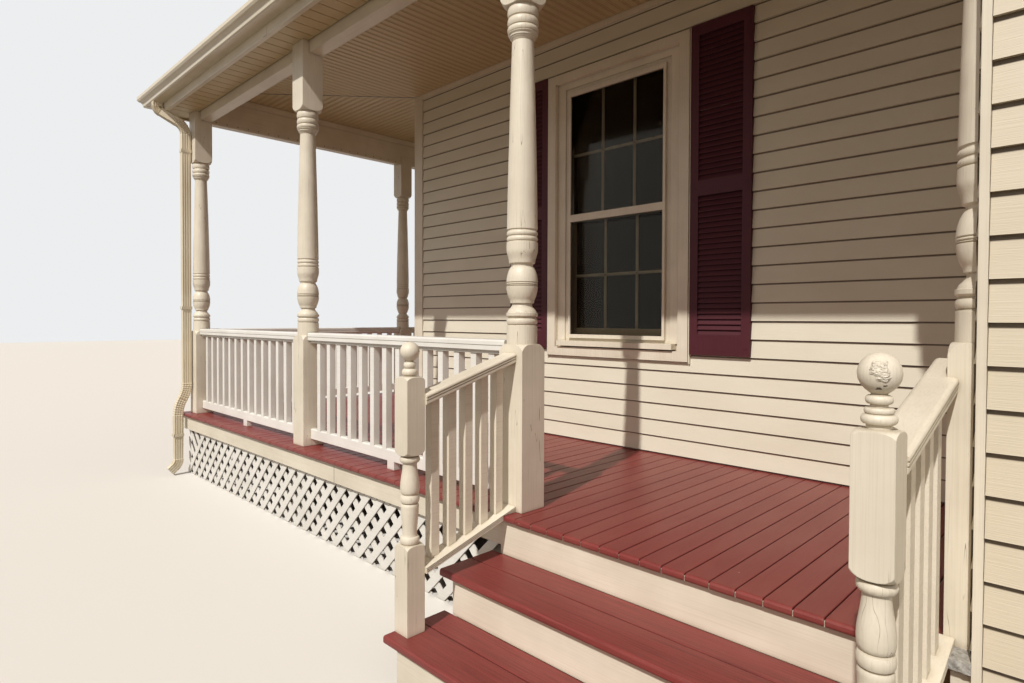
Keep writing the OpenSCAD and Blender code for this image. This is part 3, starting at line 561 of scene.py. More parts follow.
def pane_glass(name, slot):
    """Clear pane that lets light through and mirrors at a slant."""
    material, tree = start(name, slot)
    through = add(tree, "ShaderNodeBsdfTransparent", {"Color": linear("F2F0EA")})
    # The mirror is tinted grey: painted dimming of the reflection, for the shade that the pane faces.
    mirror = add(tree, "ShaderNodeBsdfGlossy", {"Color": linear("6E6A66"), "Roughness": 0.02})
    slant = add(tree, "ShaderNodeFresnel", {"IOR": 1.5})
    mix = add(tree, "ShaderNodeMixShader", {0: slant.outputs[0], 1: through.outputs[0],
              2: mirror.outputs[0]})
    add(tree, "ShaderNodeOutputMaterial", {"Surface": mix.outputs[0]})
    return material


glass = dark_glass("window glass over a dark room", "glass")
clear_glass = pane_glass("storm window glass", "glass")
print(len([m for m in bpy.data.materials if "slot" in m]), "materials in all")

# %% [markdown]
# Each CAD part gets the paint whose grain runs along its length, as the mill cut it.
# The parts could be told apart by their shape, but a written list is easy to check.

# %% Paint on the CAD parts
finishes = {
    "front_wall": plaster, "side_wall": plaster, "right_wall_side": plaster,
    "right_wall_front": plaster, "deck_front": deck_enamel, "deck_side": side_enamel,
    "front_joists": lumber, "side_joists": lumber, "front_piers": concrete,
    "side_piers": concrete, "skirt_front": cream_long, "skirt_side": cream_deep,
    "skirt_end": cream_long, "lattice_front": white_long, "lattice_side": white_deep,
    "lattice_end": white_long, "lower_tread": tread_enamel, "upper_tread": tread_enamel,
    "risers": cream_long, "stringers": cream_deep, "corner_post": cream_turned,
    "middle_post": cream_turned, "stair_post": cream_turned, "side_post": cream_turned,
    "end_post": cream_turned, "wall_post": cream_turned, "left_newel": cream_worn,
    "right_newel": cream_worn, "railing_front_left": white_long,
    "railing_front_right": white_long, "railing_side_front": white_deep,
    "railing_side_back": white_deep, "railing_end": white_long,
    "stair_rail_left": cream_deep, "stair_rail_right": cream_deep, "beam_front": cream_long,
    "beam_side": cream_deep, "beam_end": cream_long, "ceiling_front": soffit,
    "ceiling_side": soffit, "eave_front": cream_long, "eave_side": cream_deep,
    "gable_end": cream_long, "gutter_front": enamel, "gutter_side": enamel,
    "downspout": enamel, "roof_front": shingle, "roof_side": shingle,
    "window_casing": cream_up, "upper_sash": cream_up, "lower_sash": cream_up,
    "window_glass": glass, "shutter_left": plum, "shutter_right": plum,
}
for node, finish in finishes.items():
    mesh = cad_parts[node].data
    mesh.materials.clear()
    mesh.materials.append(finish)
print(len(finishes), "parts painted")

# %% [markdown]
# A lathe leaves a turned post round, but the CAD mesh is made of narrow flats. They
# could be shaded smooth by angle, but here every flat has corners of its own, so
# nothing would join. Instead each corner gets the mean direction of the flats that
# meet in its place at less than 32 degrees. The square blocks keep their sharp arrises.


# %% Smooth shading of the turned posts
def soften(mesh, degrees):
    """Share normals between faces that meet at less than an angle; the shape stays."""
    limit = math.cos(math.radians(degrees))
    facing = [side.normal.copy() for side in mesh.polygons]
    weight = [side.area for side in mesh.polygons]
    place = [tuple(round(c, 5) for c in vertex.co) for vertex in mesh.vertices]
    meeting = {}
    for side in mesh.polygons:
        for v in side.vertices:
            meeting.setdefault(place[v], []).append(side.index)
    normals = []
    for side in mesh.polygons:
        own = facing[side.index]
        for v in side.vertices:
            total = Vector((0, 0, 0))
            for other in meeting[place[v]]:
                if facing[other].dot(own) > limit:
                    total += facing[other] * weight[other]
            normals.append(total.normalized())
    mesh.normals_split_custom_set(normals)


turned_nodes = [n for n in finishes if n.endswith(("_post", "_newel"))]
for node in turned_nodes:
    soften(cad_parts[node].data, 32)
print(len(turned_nodes), "turned posts shaded smooth")

# %% [markdown]
# Most coverings are long stock with one section: siding, trim, boards, gutter. They
# could be cubes with modifiers, but a section drawn in mm is what a carpenter reads
# off a drawing. So one function lofts through outlines at given places along an axis,
# and bar() and block() are its simple cases.


# %% Lofts, bars and blocks
def loft(axis, sections):
    """Solid through outlines [(place, [(a, b), ...]), ...] set along an axis, in mm.

    A place may be a function of (a, b), which cuts that end on a mitre.
    """
    turned = {"x": lambda t, a, b: (t, a, b), "y": lambda t, a, b: (a, t, b),
              "z": lambda t, a, b: (a, b, t)}[axis]
    n = len(sections[0][1])
    points = [turned(place(a, b) if callable(place) else place, a, b)
              for place, outline in sections for a, b in outline]
    last = n * (len(sections) - 1)
    faces = [tuple(range(n)), tuple(range(last, last + n))]
    for s in range(len(sections) - 1):
        for i in range(n):
            j = (i + 1) % n
            faces.append((s * n + i, s * n + j, s * n + n + j, s * n + n + i))
    return points, faces


def bar(axis, outline, a, b):
    """Outline drawn out along an axis from a to b."""
    return loft(axis, [(a, outline), (b, outline)])


def block(a, b):
    """Box from its lowest to its highest corner."""
    return bar("x", [(a[1], a[2]), (b[1], a[2]), (b[1], b[2]), (a[1], b[2])], a[0], b[0])


print("a block has", len(block((0, 0, 0), (1, 1, 1))[0]), "corners")

# %% [markdown]
# One object for each board would work too, but a hundred of them are slow to handle.
# Each solid keeps a tone of its own, stored on its faces.


# %% Pieces
def piece(name, solids, material, nodes=(), tones=None, smooth=0):
    """One object from solids; it stands for CAD nodes, and tones give each solid a shade."""
    points, faces, shades = [], [], []
    for i, (corners, sides) in enumerate(solids):
        offset = len(points)
        points += [metres(*corner) for corner in corners]
        faces += [tuple(offset + v for v in side) for side in sides]
        shades += [tones[i] if tones else 0.5] * len(sides)
    mesh = bpy.data.meshes.new(name)
    mesh.from_pydata(points, [], faces)
    work = bmesh.new()
    work.from_mesh(mesh)
    bmesh.ops.recalc_face_normals(work, faces=work.faces)
    work.to_mesh(mesh)
    work.free()
    mesh.attributes.new("tone", "FLOAT", "FACE").data.foreach_set("value", shades)
    mesh.materials.append(material)
    thing = bpy.data.objects.new(name, mesh)
    bpy.context.collection.objects.link(thing)
    if smooth:
        for side in mesh.polygons:
            side.use_smooth = True
        bpy.context.view_layer.objects.active = thing
        thing.select_set(True)
        bpy.ops.object.shade_smooth_by_angle(angle=math.radians(smooth))
        thing.select_set(False)
    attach(thing, "root")
    if nodes:
        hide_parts(*nodes)
    return thing


print("pieces hang on the body root")

# %% [markdown]
# Vinyl siding comes as double courses: every second butt is the lap of two panels,
# with a hanging lip and a deep dark joint, and the one between is only a fold. A bump
# could draw the butts, but they throw real shadows here, so they are built. Each
# field of wall is one outline, worked out course by course and drawn out along it.

# %% Siding
butt = 15
siding_top = 4000
wall_front = -1535
side_end = 3113
stub_end = 4975
foundation_top = 280


def siding_outline(z0, z1):
    """Depth in front of the wall against height, for courses from z0 up to z1."""
    outline = [(0, z0)]
    k = math.floor((z0 - first_butt) / course)
    while first_butt + k * course < z1:
        low = first_butt + k * course
        a = max(low, z0)
        b = min(low + course, z1)
        lapped = (k + 1) % 2 == 0
        outline.append((butt - (butt - 2) * (a - low) / course, a))
        if a == low:
            outline.append((butt - 0.4, a + 2))
        outline.append((butt - (butt - 2) * (b - low) / course, b))
        if lapped and b + 5 < z1:
            outline += [(2, b + 5), (butt - 1.6, b + 5), (butt - 1.6, b)]
        elif b < z1:
            outline.append((butt - 1.5, b + 0.5))
        k += 1
    outline.append((0, z1))
    return outline


def facing_front(outline, y):
    """Outline set out from a wall that faces the front, at y."""
    return [(y - d, z) for d, z in outline]


corner_board_edge = 101
casing_x0, casing_x1, casing_z0, casing_z1 = 1586, 2686, deck + 574, deck + 2523
front = [
    bar("x", facing_front(siding_outline(deck, siding_top), 0), corner_board_edge, casing_x0 - 4),
    bar("x", facing_front(siding_outline(deck, siding_top), 0), casing_x1 + 4, wall_end - 22),
    bar("x", facing_front(siding_outline(deck, casing_z0 - 11), 0), casing_x0 - 4, casing_x1 + 4),
    bar("x", facing_front(siding_outline(casing_z1 + 6, siding_top), 0), casing_x0 - 4, casing_x1 + 4),
]
piece("front_siding", front, siding_x)
piece("stub_siding", [bar("x", facing_front(siding_outline(foundation_top, siding_top), wall_front),
                          wall_end + 19.5, stub_end)], stub_siding_painted_darker)
piece("side_siding", [bar("y", facing_front(siding_outline(deck, siding_top), 0),
                          corner_board_edge, side_end)], siding_y)
piece("return_siding", [bar("y", facing_front(siding_outline(deck, siding_top), wall_end),
                            wall_front + 40, -22)], siding_y)
print("siding in", len(front) + 3, "fields")

# %% [markdown]
# Siding never ends in the open: each cut end slides into a channel. There is a corner
# post at the outer corner, a channel round the window, an inside corner, a frieze
# below the ceiling, and cast concrete below the projecting wall. They are simple bent
# or flat strips, so boxes and two L outlines are enough, set proud of the siding.

# %% Trim that closes the siding
corner_w = 96
corner_out = 17
frieze_low = deck + 2748
house_trim = [
    bar("z", [(-corner_out, -corner_out), (corner_w, -corner_out), (corner_w, 0), (0, 0),
              (0, corner_w), (-corner_out, corner_w)], deck, siding_top),
    block((corner_w + 2, -corner_out + 3, deck), (corner_w + 5, 0, siding_top)),
    block((-corner_out + 3, corner_w + 2, deck), (0, corner_w + 5, siding_top)),
    block((wall_end - 20, -20, deck), (wall_end, 0, siding_top)),
    block((0, -20, frieze_low), (wall_end, 0, ceiling_z)),
    block((-20, 0, frieze_low), (0, side_end, ceiling_z)),
    block((wall_end - 20, wall_front + 50, frieze_low), (wall_end, 0, ceiling_z)),
]
piece("siding_trim", house_trim, cream_up)
stub_trim = [
    bar("z", [(wall_end - 1.5, wall_front - 16), (wall_end + 18.5, wall_front - 16),
              (wall_end + 18.5, wall_front), (wall_end, wall_front), (wall_end, wall_front + 36),
              (wall_end - 1.5, wall_front + 36)], foundation_top, siding_top),
]
piece("stub_corner_trim", stub_trim, cream_up)
channel = [
    block((casing_x0 - 9, -26, casing_z0 - 10), (casing_x0 - 2, 0, casing_z1 + 5)),
    block((casing_x1 + 2, -26, casing_z0 - 10), (casing_x1 + 9, 0, casing_z1 + 5)),
    block((casing_x0 - 2, -15, casing_z1 + 1), (casing_x1 + 2, 0, casing_z1 + 5)),
    block((casing_x0 - 2, -15, casing_z0 - 10), (casing_x1 + 2, 0, casing_z0 - 4)),
]
piece("window_channel", channel, channel_vinyl)
piece("foundation", [block((wall_end - 2, wall_front - 2, 0), (stub_end, wall_front, foundation_top))],
      concrete)
print("frieze %d mm high, corner post %d mm wide" % (ceiling_z - frieze_low, corner_w + corner_out))

# %% [markdown]
# The deck is laid in 3 1/4 in boards, their front ends rounded over with a plane. One
# board could be repeated by an array, but then every end would line up. Here each is
# lofted by itself: it sits a hair lower or higher, its nose is worn a little
# differently, and it has a tone of its own.

# %% One deck board
thick = 28
random.seed(11)


def board_outline(a, b, top, low):
    """Board in section: flat below, the two top edges eased."""
    return [(a, low), (b, low), (b, top - 3), (b - 1, top - 0.8), (b - 3, top), (a + 3, top),
            (a + 1, top - 0.8), (a, top - 3)]


def board(axis, a, b, nose, tail, top):
    """Board whose nosed end is at nose, with its other end at tail."""
    bottom = deck - thick
    step = 1 if tail > nose else -1
    worn = random.uniform(0, 1.5)
    cuts = [(0, 8, 9), (2.5, 3.5, 4), (6, 1, 1.2), (10, 0, 0)]
    sections = [(nose + step * (cut + worn), board_outline(a, b, top - down, bottom + up))
                for cut, down, up in cuts]
    return loft(axis, sections + [(tail, board_outline(a, b, top, bottom))])


print("boards %d mm thick" % thick)

# %% [markdown]
# The boards of the front deck run front to back, and those of the side deck run out
# from the house wall. They are counted off from a joint that shows beside the steps,
# at a real pitch of 85.8 mm, so that every joint falls where it should. An even split
# of the width would look right too, but its joints would miss the posts' feet. Cream
# blocks fill the gaps near the boards' front ends.

# %% Laying the deck
pitch = 85.8
gap = 3.2
deck_x0, deck_front_y, deck_back_y = -1390, -1545, 2991
right_board_x = 3956.8 + pitch * 3

front_boards = []
gap_fill = []
x = right_board_x
while x > deck_x0:
    a = max(x + gap / 2, deck_x0)
    b = min(x + pitch - gap / 2, wall_end)
    front_boards.append(board("y", a, b, deck_front_y, 0, deck - random.uniform(0, 0.8)))
    gap_fill.append(block((b, deck_front_y + 4, deck - 25), (b + gap, deck_front_y + 12, deck - 8)))
    x -= pitch
front_boards.append(board("y", deck_x0, x + pitch - gap / 2, deck_front_y, 0, deck - 0.5))
side_boards = []
y = gap
while y < deck_back_y - 20:
    b = min(y + pitch - gap, deck_back_y)
    side_boards.append(board("x", y, b, deck_x0, 0, deck - random.uniform(0, 0.8)))
    y += pitch
piece("front_deck_boards", front_boards, deck_enamel, ["deck_front"],
      [random.random() for i in front_boards])
piece("side_deck_boards", side_boards, side_enamel, ["deck_side"],
      [random.random() for i in side_boards])
piece("cream_in_the_gaps", gap_fill[:-1], cream_long)
print(len(front_boards), "front boards,", len(side_boards), "side boards")

# %% [markdown]
# Small repairs at the deck's edge: the joint between two skirt boards, a board that
# closes the end beside the steps, and a crumpled scrap of flashing over the last
# nosing. A cloth simulation could crumple the scrap, but a grid of points bent over
# the nosing and shaken by up to 2.5 mm looks the same at this distance.

# %% Skirt joint, end skirt and flashing scrap
random.seed(5)
end_x = 4243
piece("skirt_joint", [block((1243, -1518.6, 388), (1245.5, -1517, 496))], nail_steel_and_joint_shade)
piece("end_skirt", [block((end_x, -1524, 2), (wall_end - 1, -1519, deck - 36))], cream_up)


def crumpled(path, x0, x1, n, shake):
    """Sheet that follows a path of (y, z), wavy along x, 1.2 mm thick."""
    rows = []
    for y, z in path:
        rows.append([(x0 + (x1 - x0) * j / n, y - random.uniform(0, shake), z + random.uniform(0, shake))
                     for j in range(n + 1)])
    front_side = [p for row in rows for p in row]
    corners = front_side + [(x, y + 1.2, z - 1.2) for x, y, z in front_side]
    w, count = n + 1, len(front_side)
    faces = []
    for i in range(len(rows) - 1):
        for j in range(n):
            a = i * w + j
            faces.append((a, a + 1, a + w + 1, a + w))
            faces.append((count + a, count + a + w, count + a + w + 1, count + a + 1))
    rim = ([j for j in range(w)] + [i * w + n for i in range(1, len(rows))] +
           [(len(rows) - 1) * w + j for j in range(n - 1, -1, -1)] +
           [i * w for i in range(len(rows) - 2, 0, -1)])
    for a, b in zip(rim, rim[1:] + rim[:1]):
        faces.append((a, b, count + b, count + a))
    return corners, faces


scrap_path = [(-1440 - 12 * i, deck + 1.5) for i in range(9)] + [
    (-1548, deck), (-1549, deck - 8), (-1549, deck - 16), (-1549, deck - 24)]
piece("crumpled_flashing", [crumpled(scrap_path, end_x, wall_end - 2, 7, 2.5)], galvanised)
print("scrap bent over the nosing at", len(scrap_path), "points")

# %% [markdown]
# The ceilings are vinyl panels with three beads in 7 in. They run to the house, so the
# two ceilings meet on a mitre at the corner, with a gap that a dark strip closes: painted
# shade of the joint. The beads could be cut with a boolean for each, but a sheet lofted
# through its grooves is one clean mesh, and a span that depends on the place cuts the
# mitre on the way.

# %% Beaded ceilings
inner_x, inner_y = -1182, -1337
gable_y = 2783
mitre_gap = 7
bead_pitch = 59.3
bead_groove = [(0, 4), (3.5, 4), (5, 0.5), (9, 0), (13, 0.5), (14.5, 4), (17, 4), (18.5, 0)]
plain_groove = [(0, 6), (4, 6), (5, 1), (8, 0)]


def ribbed(axis, a, b, span_at, z, thickness, groove, pitch):
    """Sheet whose underside has a groove at every pitch from a to b, spanning span_at(place)."""
    sections = []
    place = a
    while place < b:
        for offset, up in groove + [(pitch - 1, 0)]:
            if place + offset < b:
                low, high = span_at(place + offset)
                sections.append((place + offset, [(low, z + up), (high, z + up),
                                 (high, z + thickness), (low, z + thickness)]))
        place += pitch
    low, high = span_at(b)
    sections.append((b, [(low, z), (high, z), (high, z + thickness), (low, z + thickness)]))
    return loft(axis, sections)


def front_span(x):
    """Front ceiling from its front edge to the wall or the mitre."""
    return (inner_y, min(0, (x - mitre_gap) * inner_y / inner_x) if x < mitre_gap else 0)


def side_span(y):
    """Side ceiling from its outer edge to the wall or the mitre."""
    return (inner_x, min(0, (y - mitre_gap) * inner_x / inner_y) if y < mitre_gap else 0)


piece("front_beaded_ceiling", [ribbed("x", inner_x + 10, wall_end, front_span, ceiling_z, 20,
                                      bead_groove, bead_pitch)], soffit, ["ceiling_front"])
piece("side_beaded_ceiling", [ribbed("y", inner_y + 10, gable_y, side_span, ceiling_z, 20,
                                     bead_groove, bead_pitch)], soffit, ["ceiling_side"])
reach = math.hypot(inner_x, inner_y)
joint_half = 6
mitre_side = (inner_y / reach * joint_half, -inner_x / reach * joint_half)
mitre_line = [(mitre_side[0], mitre_side[1]), (-mitre_side[0], -mitre_side[1]),
              (inner_x - mitre_side[0], inner_y - mitre_side[1]),
              (inner_x + mitre_side[0], inner_y + mitre_side[1])]
# Dark strip along the mitre: painted shade of the gap between the two ceilings.
piece("ceiling_mitre_shade_strip", [bar("z", mitre_line, ceiling_z - 0.6, ceiling_z + 2)], nail_steel_and_joint_shade)
print("ceilings with a bead every", bead_pitch, "mm")

# %% [markdown]
# The eaves are wrapped in bent aluminium: a fascia cover with a hem at its foot and a
# soffit of flat panels with a groove every 4 in, set square to the fascia and
# mitred at the porch corner. A dark joint is left along the beams. The same two
# functions as before do it: one outline drawn out, and one ribbed sheet. The fascia's
# ends are cut by a place that depends on the outline, so the two covers meet exactly.

# %% Fascia and soffit
eave_x, eave_y = -1512, -1667
beam_x, beam_y = -1272, -1427
joint = 5
corner_step = eave_x - eave_y
soffit_z = deck + 2605
roof_back = 3113
fascia_low = soffit_z - 15
fascia_high = deck + 2724


def fascia_outline(face):
    """Fascia cover in section, its outer face at a place; it looks outwards, to less."""
    return [(face, fascia_high), (face, fascia_low + 6), (face + 2, fascia_low),
            (face + 30, fascia_low), (face + 30, fascia_low + 4), (face + 20, fascia_low + 4),
            (face + 20, fascia_high)]


def front_soffit_span(x):
    """Front soffit from the fascia to the beam or the mitre."""
    return (eave_y + 20, min(beam_y - joint, x - corner_step - 1))


def side_soffit_span(y):
    """Side soffit from the fascia to the beam or the mitre."""
    return (eave_x + 20, min(beam_x - joint, y + corner_step - 1))


piece("front_fascia", [bar("x", fascia_outline(eave_y), lambda y, z: y + corner_step, wall_end)],
      cream_long, ["eave_front"])
piece("side_fascia", [bar("y", fascia_outline(eave_x), lambda x, z: x - corner_step, roof_back)],
      cream_deep, ["eave_side"])
piece("front_soffit", [ribbed("x", eave_x + 24, wall_end, front_soffit_span, soffit_z, 15,
                              plain_groove, 101.6)], soffit)
piece("side_soffit", [ribbed("y", eave_y + 24, roof_back - 240, side_soffit_span, soffit_z, 15,
                             plain_groove, 101.6)], soffit)
lap_x = 640
lap = [bar("x", [(p - 1.2, z) for p, z in fascia_outline(eave_y)[:3]] +
           [(eave_y, fascia_low), (eave_y, fascia_high)], lap_x, lap_x + 50)]
piece("fascia_lap", lap, cream_long)
print("fascia %d mm high" % (fascia_high - fascia_low))

# %% [markdown]
# The roof is laid in asphalt shingles, in courses 143 mm apart. They could be a bump on
# the slope, but the eaves show their ragged lower edge, so each tab is a thin plate
# whose lower edge lies on the course below. Their widths and lifts are drawn by chance
# from a fixed seed. Tabs at the hip are cut along it.

# %% Rows of shingle tabs
exposure = 143
tab_w = 305
tab_t = 5
roof_foot = ceiling_z
front_run, side_run = 1690, 1535
roof_rise = 473.2
lip = 12
random.seed(23)


def tabs(run, a, b, hip_at, place):
    """Tabs over a slope: rows up the run from the eave, from a to b along it."""
    solids = []
    v = -lip
    while v < run - 5:
        u = a - tab_w * random.random()
        end = min(v + exposure + 25, run)
        while u < b:
            width = tab_w * random.choice((0.5, 1, 1, 1.5))
            corners = []
            for along, up in ((u, v), (u + width - 2, v), (u + width - 2, end), (u, end)):
                low, high = hip_at(up)
                corners.append((min(max(along, low), high), up))
            if corners[1][0] - corners[0][0] > 4:
                lift = random.uniform(0, 1.5)
                heights = (tab_t + 1 + lift, tab_t + 1 + lift, 1, 1)
                under = [place(x, y, -1) for x, y in corners]
                over = [place(x, y, h + 2) for (x, y), h in zip(corners, heights)]
                solids.append((under + over, [(0, 1, 2, 3), (4, 5, 6, 7), (0, 1, 5, 4), (1, 2, 6, 5),
                                              (2, 3, 7, 6), (3, 0, 4, 7)]))
            u += width
        v += exposure
    return solids


print("roof rises", roof_rise, "mm")

# %% [markdown]
# The roof is a hip: the front and the side slope meet over the porch corner. Both are
# laid by the same function. It only asks where the hip cuts a course, and how a place
# on the slope turns into a place in space. Turning a flat sheet of tabs into the slope
# would work for one side, but it would not cut the tabs at the hip.


# %% Laying the shingles
def front_place(x, v, h):
    """Point on the front slope: x along the eave, v in plan up from it."""
    return (x, -front_run + v, roof_foot + v * roof_rise / front_run + h)


def side_place(y, v, h):
    """Point on the side slope."""
    return (-side_run + v, y, roof_foot + v * roof_rise / side_run + h)


front_tabs = tabs(front_run, -1560, wall_end, lambda v: (-side_run * (1 - v / front_run), wall_end),
                  front_place)
side_tabs = tabs(side_run, -1715, roof_back, lambda v: (-front_run * (1 - v / side_run), roof_back),
                 side_place)
piece("front_shingles", front_tabs, shingle, tones=[random.random() for t in front_tabs])
piece("side_shingles", side_tabs, shingle, tones=[random.random() for t in side_tabs])
print(len(front_tabs) + len(side_tabs), "shingle tabs")

# %% [markdown]
# The cut tabs at the hip would let rain in, so folded caps are nailed over them, each
# lapping the one below by a third. A cap is a bent plate between two rings of points,
# one lower down the hip and one higher. That takes no bending of a flat tab.

# %% Hip caps
caps = []
cap_n = 17
for i in range(cap_n):
    t0, t1 = i / cap_n, (i + 1.35) / cap_n
    low = Vector(front_place(-side_run * (1 - t0), front_run * t0, 0))
    high = Vector(front_place(-side_run * (1 - t1), front_run * t1, 0))
    if t1 > 1:
        high = Vector((0, 0, roof_foot + roof_rise))
    across_front, across_side = Vector((120, 0, 0)), Vector((0, 120, 0))
    ring = []
    for base, up in ((low, 11), (high, 5)):
        for thick_up in (up - 6, up):
            for off in (across_front, Vector((0, 0, 5)), across_side):
                ring.append(tuple(base + off + Vector((0, 0, thick_up))))
    caps.append((ring, [(0, 1, 4, 3), (1, 2, 5, 4), (6, 7, 10, 9), (7, 8, 11, 10), (3, 4, 10, 9),
                        (4, 5, 11, 10), (0, 1, 7, 6), (1, 2, 8, 7), (0, 3, 9, 6), (2, 5, 11, 8)]))
piece("hip_caps", caps, shingle, tones=[random.random() for c in caps])
print(cap_n, "hip caps")

# %% [markdown]
# Bent aluminium keeps the water out of the edges: a drip edge under the first course,
# a flashing where the roof meets the walls, and steps of it up the wall at the right.
# A plane without thickness would vanish when it is seen from its edge. So each is a
# section of a bent strip, drawn out, and 2 mm thick where the real one is 0.5 mm.

# %% Drip edge and flashing
metal_edge = [
    bar("x", [(-front_run - 6, roof_foot - 40), (-front_run - 4, roof_foot - 40),
              (-front_run - 4, roof_foot - 1), (-front_run + 60, roof_foot + 16),
              (-front_run + 60, roof_foot + 18), (-front_run - 6, roof_foot + 1)],
        lambda y, z: y + corner_step, wall_end),
    bar("y", [(-side_run - 6, roof_foot - 40), (-side_run - 4, roof_foot - 40),
              (-side_run - 4, roof_foot - 1), (-side_run + 60, roof_foot + 17),
              (-side_run + 60, roof_foot + 19), (-side_run - 6, roof_foot + 1)],
        lambda x, z: x - corner_step, roof_back),
]
piece("drip_edge", metal_edge, enamel)
roof_top = roof_foot + roof_rise


def wall_strip(run):
    """Flashing in section: 70 mm down the roof of this run and 80 mm up the wall."""
    foot = roof_top - 70 * roof_rise / run
    return [(-70, foot + 8), (-14, roof_top + 4), (-14, roof_top + 80), (-12.5, roof_top + 80),
            (-12, roof_top + 2), (-70, foot + 6)]


flashing = [
    bar("x", wall_strip(front_run), 0, wall_end - 12),
    bar("y", wall_strip(side_run), 0, roof_back),
]
for i in range(11):
    v = 40 + i * exposure
    foot = front_place(wall_end - 14, v, 4)
    flashing.append(block((wall_end - 14, foot[1], foot[2] - 10),
                          (wall_end - 12.5, foot[1] + 170, foot[2] + 150)))
piece("wall_flashing", flashing, enamel)
print(len(flashing), "strips of flashing")

# %% [markdown]
# The gutter comes in lengths. A band is folded round each joint and round the corner,
# caps close the ends, and a flat hanger every 2 ft holds the lip to the fascia. The
# bands could be copies of the gutter, a little larger, but that would thicken them
# unevenly. band() sets a line out square to itself by the same distance all along.

# %% Gutter seams
gutter_z = deck + 2655
gutter_line = [(0, 0), (80, 0), (88, 8), (92, 30), (104, 44), (118, 52), (127, 66), (127, 90)]


def band(line, out):
    """Thin strip that follows the outside of a line, out from it."""
    outer = []
    for i, (a, b) in enumerate(line):
        before = line[max(i - 1, 0)]
        after = line[min(i + 1, len(line) - 1)]
        da, db = after[0] - before[0], after[1] - before[1]
        size = math.hypot(da, db)
        outer.append((a + db / size * out, b - da / size * out))
    return outer + line[::-1]


def gutter_band(out):
    """Strip round the gutter as (distance out from the fascia, height)."""
    return [(a, gutter_z + b) for a, b in band(gutter_line, out)]


front_band = [(eave_y - a, z) for a, z in gutter_band(1.6)]
side_band = [(eave_x - a, z) for a, z in gutter_band(1.6)]
seams = [
    bar("x", front_band, lambda y, z: y + corner_step, lambda y, z: y + corner_step + 55),
    bar("y", side_band, lambda x, z: x - corner_step, lambda x, z: x - corner_step + 55),
    bar("x", front_band, 1830, 1890),
    bar("y", side_band, 1200, 1260),
]
front_end = [(eave_y - a, gutter_z + b) for a, b in gutter_line] + [(eave_y, gutter_z + 90)]
side_end_cap = [(eave_x - a, gutter_z + b) for a, b in gutter_line] + [(eave_x, gutter_z + 90)]
seams += [bar("x", front_end, wall_end - 3, wall_end),
          bar("y", side_end_cap, roof_back - 3, roof_back)]
for x in range(-1200, 4200, 610):
    seams.append(block((x, eave_y - 120, gutter_z + 80), (x + 22, eave_y, gutter_z + 83)))
for y in range(-1300, 3000, 610):
    seams.append(block((eave_x - 120, y, gutter_z + 80), (eave_x, y + 22, gutter_z + 83)))
piece("gutter_seams_and_hangers", seams, enamel)
print(len(seams), "bands, end caps and hangers")

# %% [markdown]
# The downspout is a 2 x 3 in tube of the same enamelled sheet, with flutes pressed
# into its sides that stiffen it. Its elbows are crimped: pleats gather the inside of
# the bend. A curve with a bevel would twist in the bends, so the fluted section is
# set along the path one by one, and every other section in a bend is 4 mm smaller.

# %% Section and path of the downspout
pipe_w, pipe_d = 51, 76
pipe_x, pipe_y = -1275, -1518
outlet_y = -1715
foot_y = -1589
pipe_points = [(pipe_x - 82, outlet_y, gutter_z - 2), (pipe_x - 82, outlet_y, gutter_z - 62),
               (pipe_x, pipe_y, deck + 2475), (pipe_x, pipe_y, deck + 190),
               (pipe_x, foot_y, deck + 60), (pipe_x, foot_y, 95), (pipe_x, foot_y - 66, 40)]
flute_depth = 2.6
pleat_depth = 4


def pipe_section(inset):
    """Fluted rectangle in the plane across the pipe."""
    outline = []
    for sx, sy, n, length in ((1, 0, 6, pipe_w), (0, 1, 8, pipe_d), (-1, 0, 6, pipe_w),
                              (0, -1, 8, pipe_d)):
        for i in range(n):
            t = (i + 0.5) / n - 0.5
            flute = flute_depth if i % 2 else 0
            half_out = (pipe_d if sx else pipe_w) / 2 - flute - inset
            outline.append((sx * t * length + sy * half_out, sy * t * length - sx * half_out))
    return outline


def bends(points, radius, steps):
    """Path with rounded corners: (point, whether it lies in a bend)."""
    path = [(Vector(points[0]), False)]
    for before, at, after in zip(points, points[1:], points[2:]):
        before, at, after = Vector(before), Vector(at), Vector(after)
        reach = min(radius, (at - before).length * 0.5, (after - at).length * 0.5)
        start_at = at + (before - at).normalized() * reach
        end_at = at + (after - at).normalized() * reach
        for i in range(steps + 1):
            t = i / steps
            path.append((start_at * (1 - t) ** 2 + at * 2 * t * (1 - t) + end_at * t * t, True))
    return path + [(Vector(points[-1]), False)]


print("downspout with", len(pipe_points) - 2, "bends")

# %% [markdown]
# The tube goes through all sections of the path, and each section is turned square to
# it, with its flat side always to the wall. Flat straps hold it: a real one is nailed
# down once and wraps the tube, so three thin blocks make each.


# %% Downspout
def pipe():
    """The downspout as one lofted tube with pleated bends."""
    path = bends(pipe_points, 75, 16)
    corners = []
    faces = []
    for i, (at, bent) in enumerate(path):
        after = path[min(i + 1, len(path) - 1)][0]
        before = path[max(i - 1, 0)][0]
        along = (after - before).normalized()
        across = (Vector((1, 0, 0)) - along * along.x).normalized()
        deep = across.cross(along)
        outline = pipe_section(pleat_depth if bent and i % 2 else 0)
        corners += [tuple(at + across * a + deep * b) for a, b in outline]
    n = len(pipe_section(0))
    for i in range(len(path) - 1):
        for j in range(n):
            k = (j + 1) % n
            faces.append((i * n + j, i * n + k, i * n + n + k, i * n + n + j))
    faces += [tuple(range(n)), tuple(range(len(corners) - n, len(corners)))]
    return corners, faces


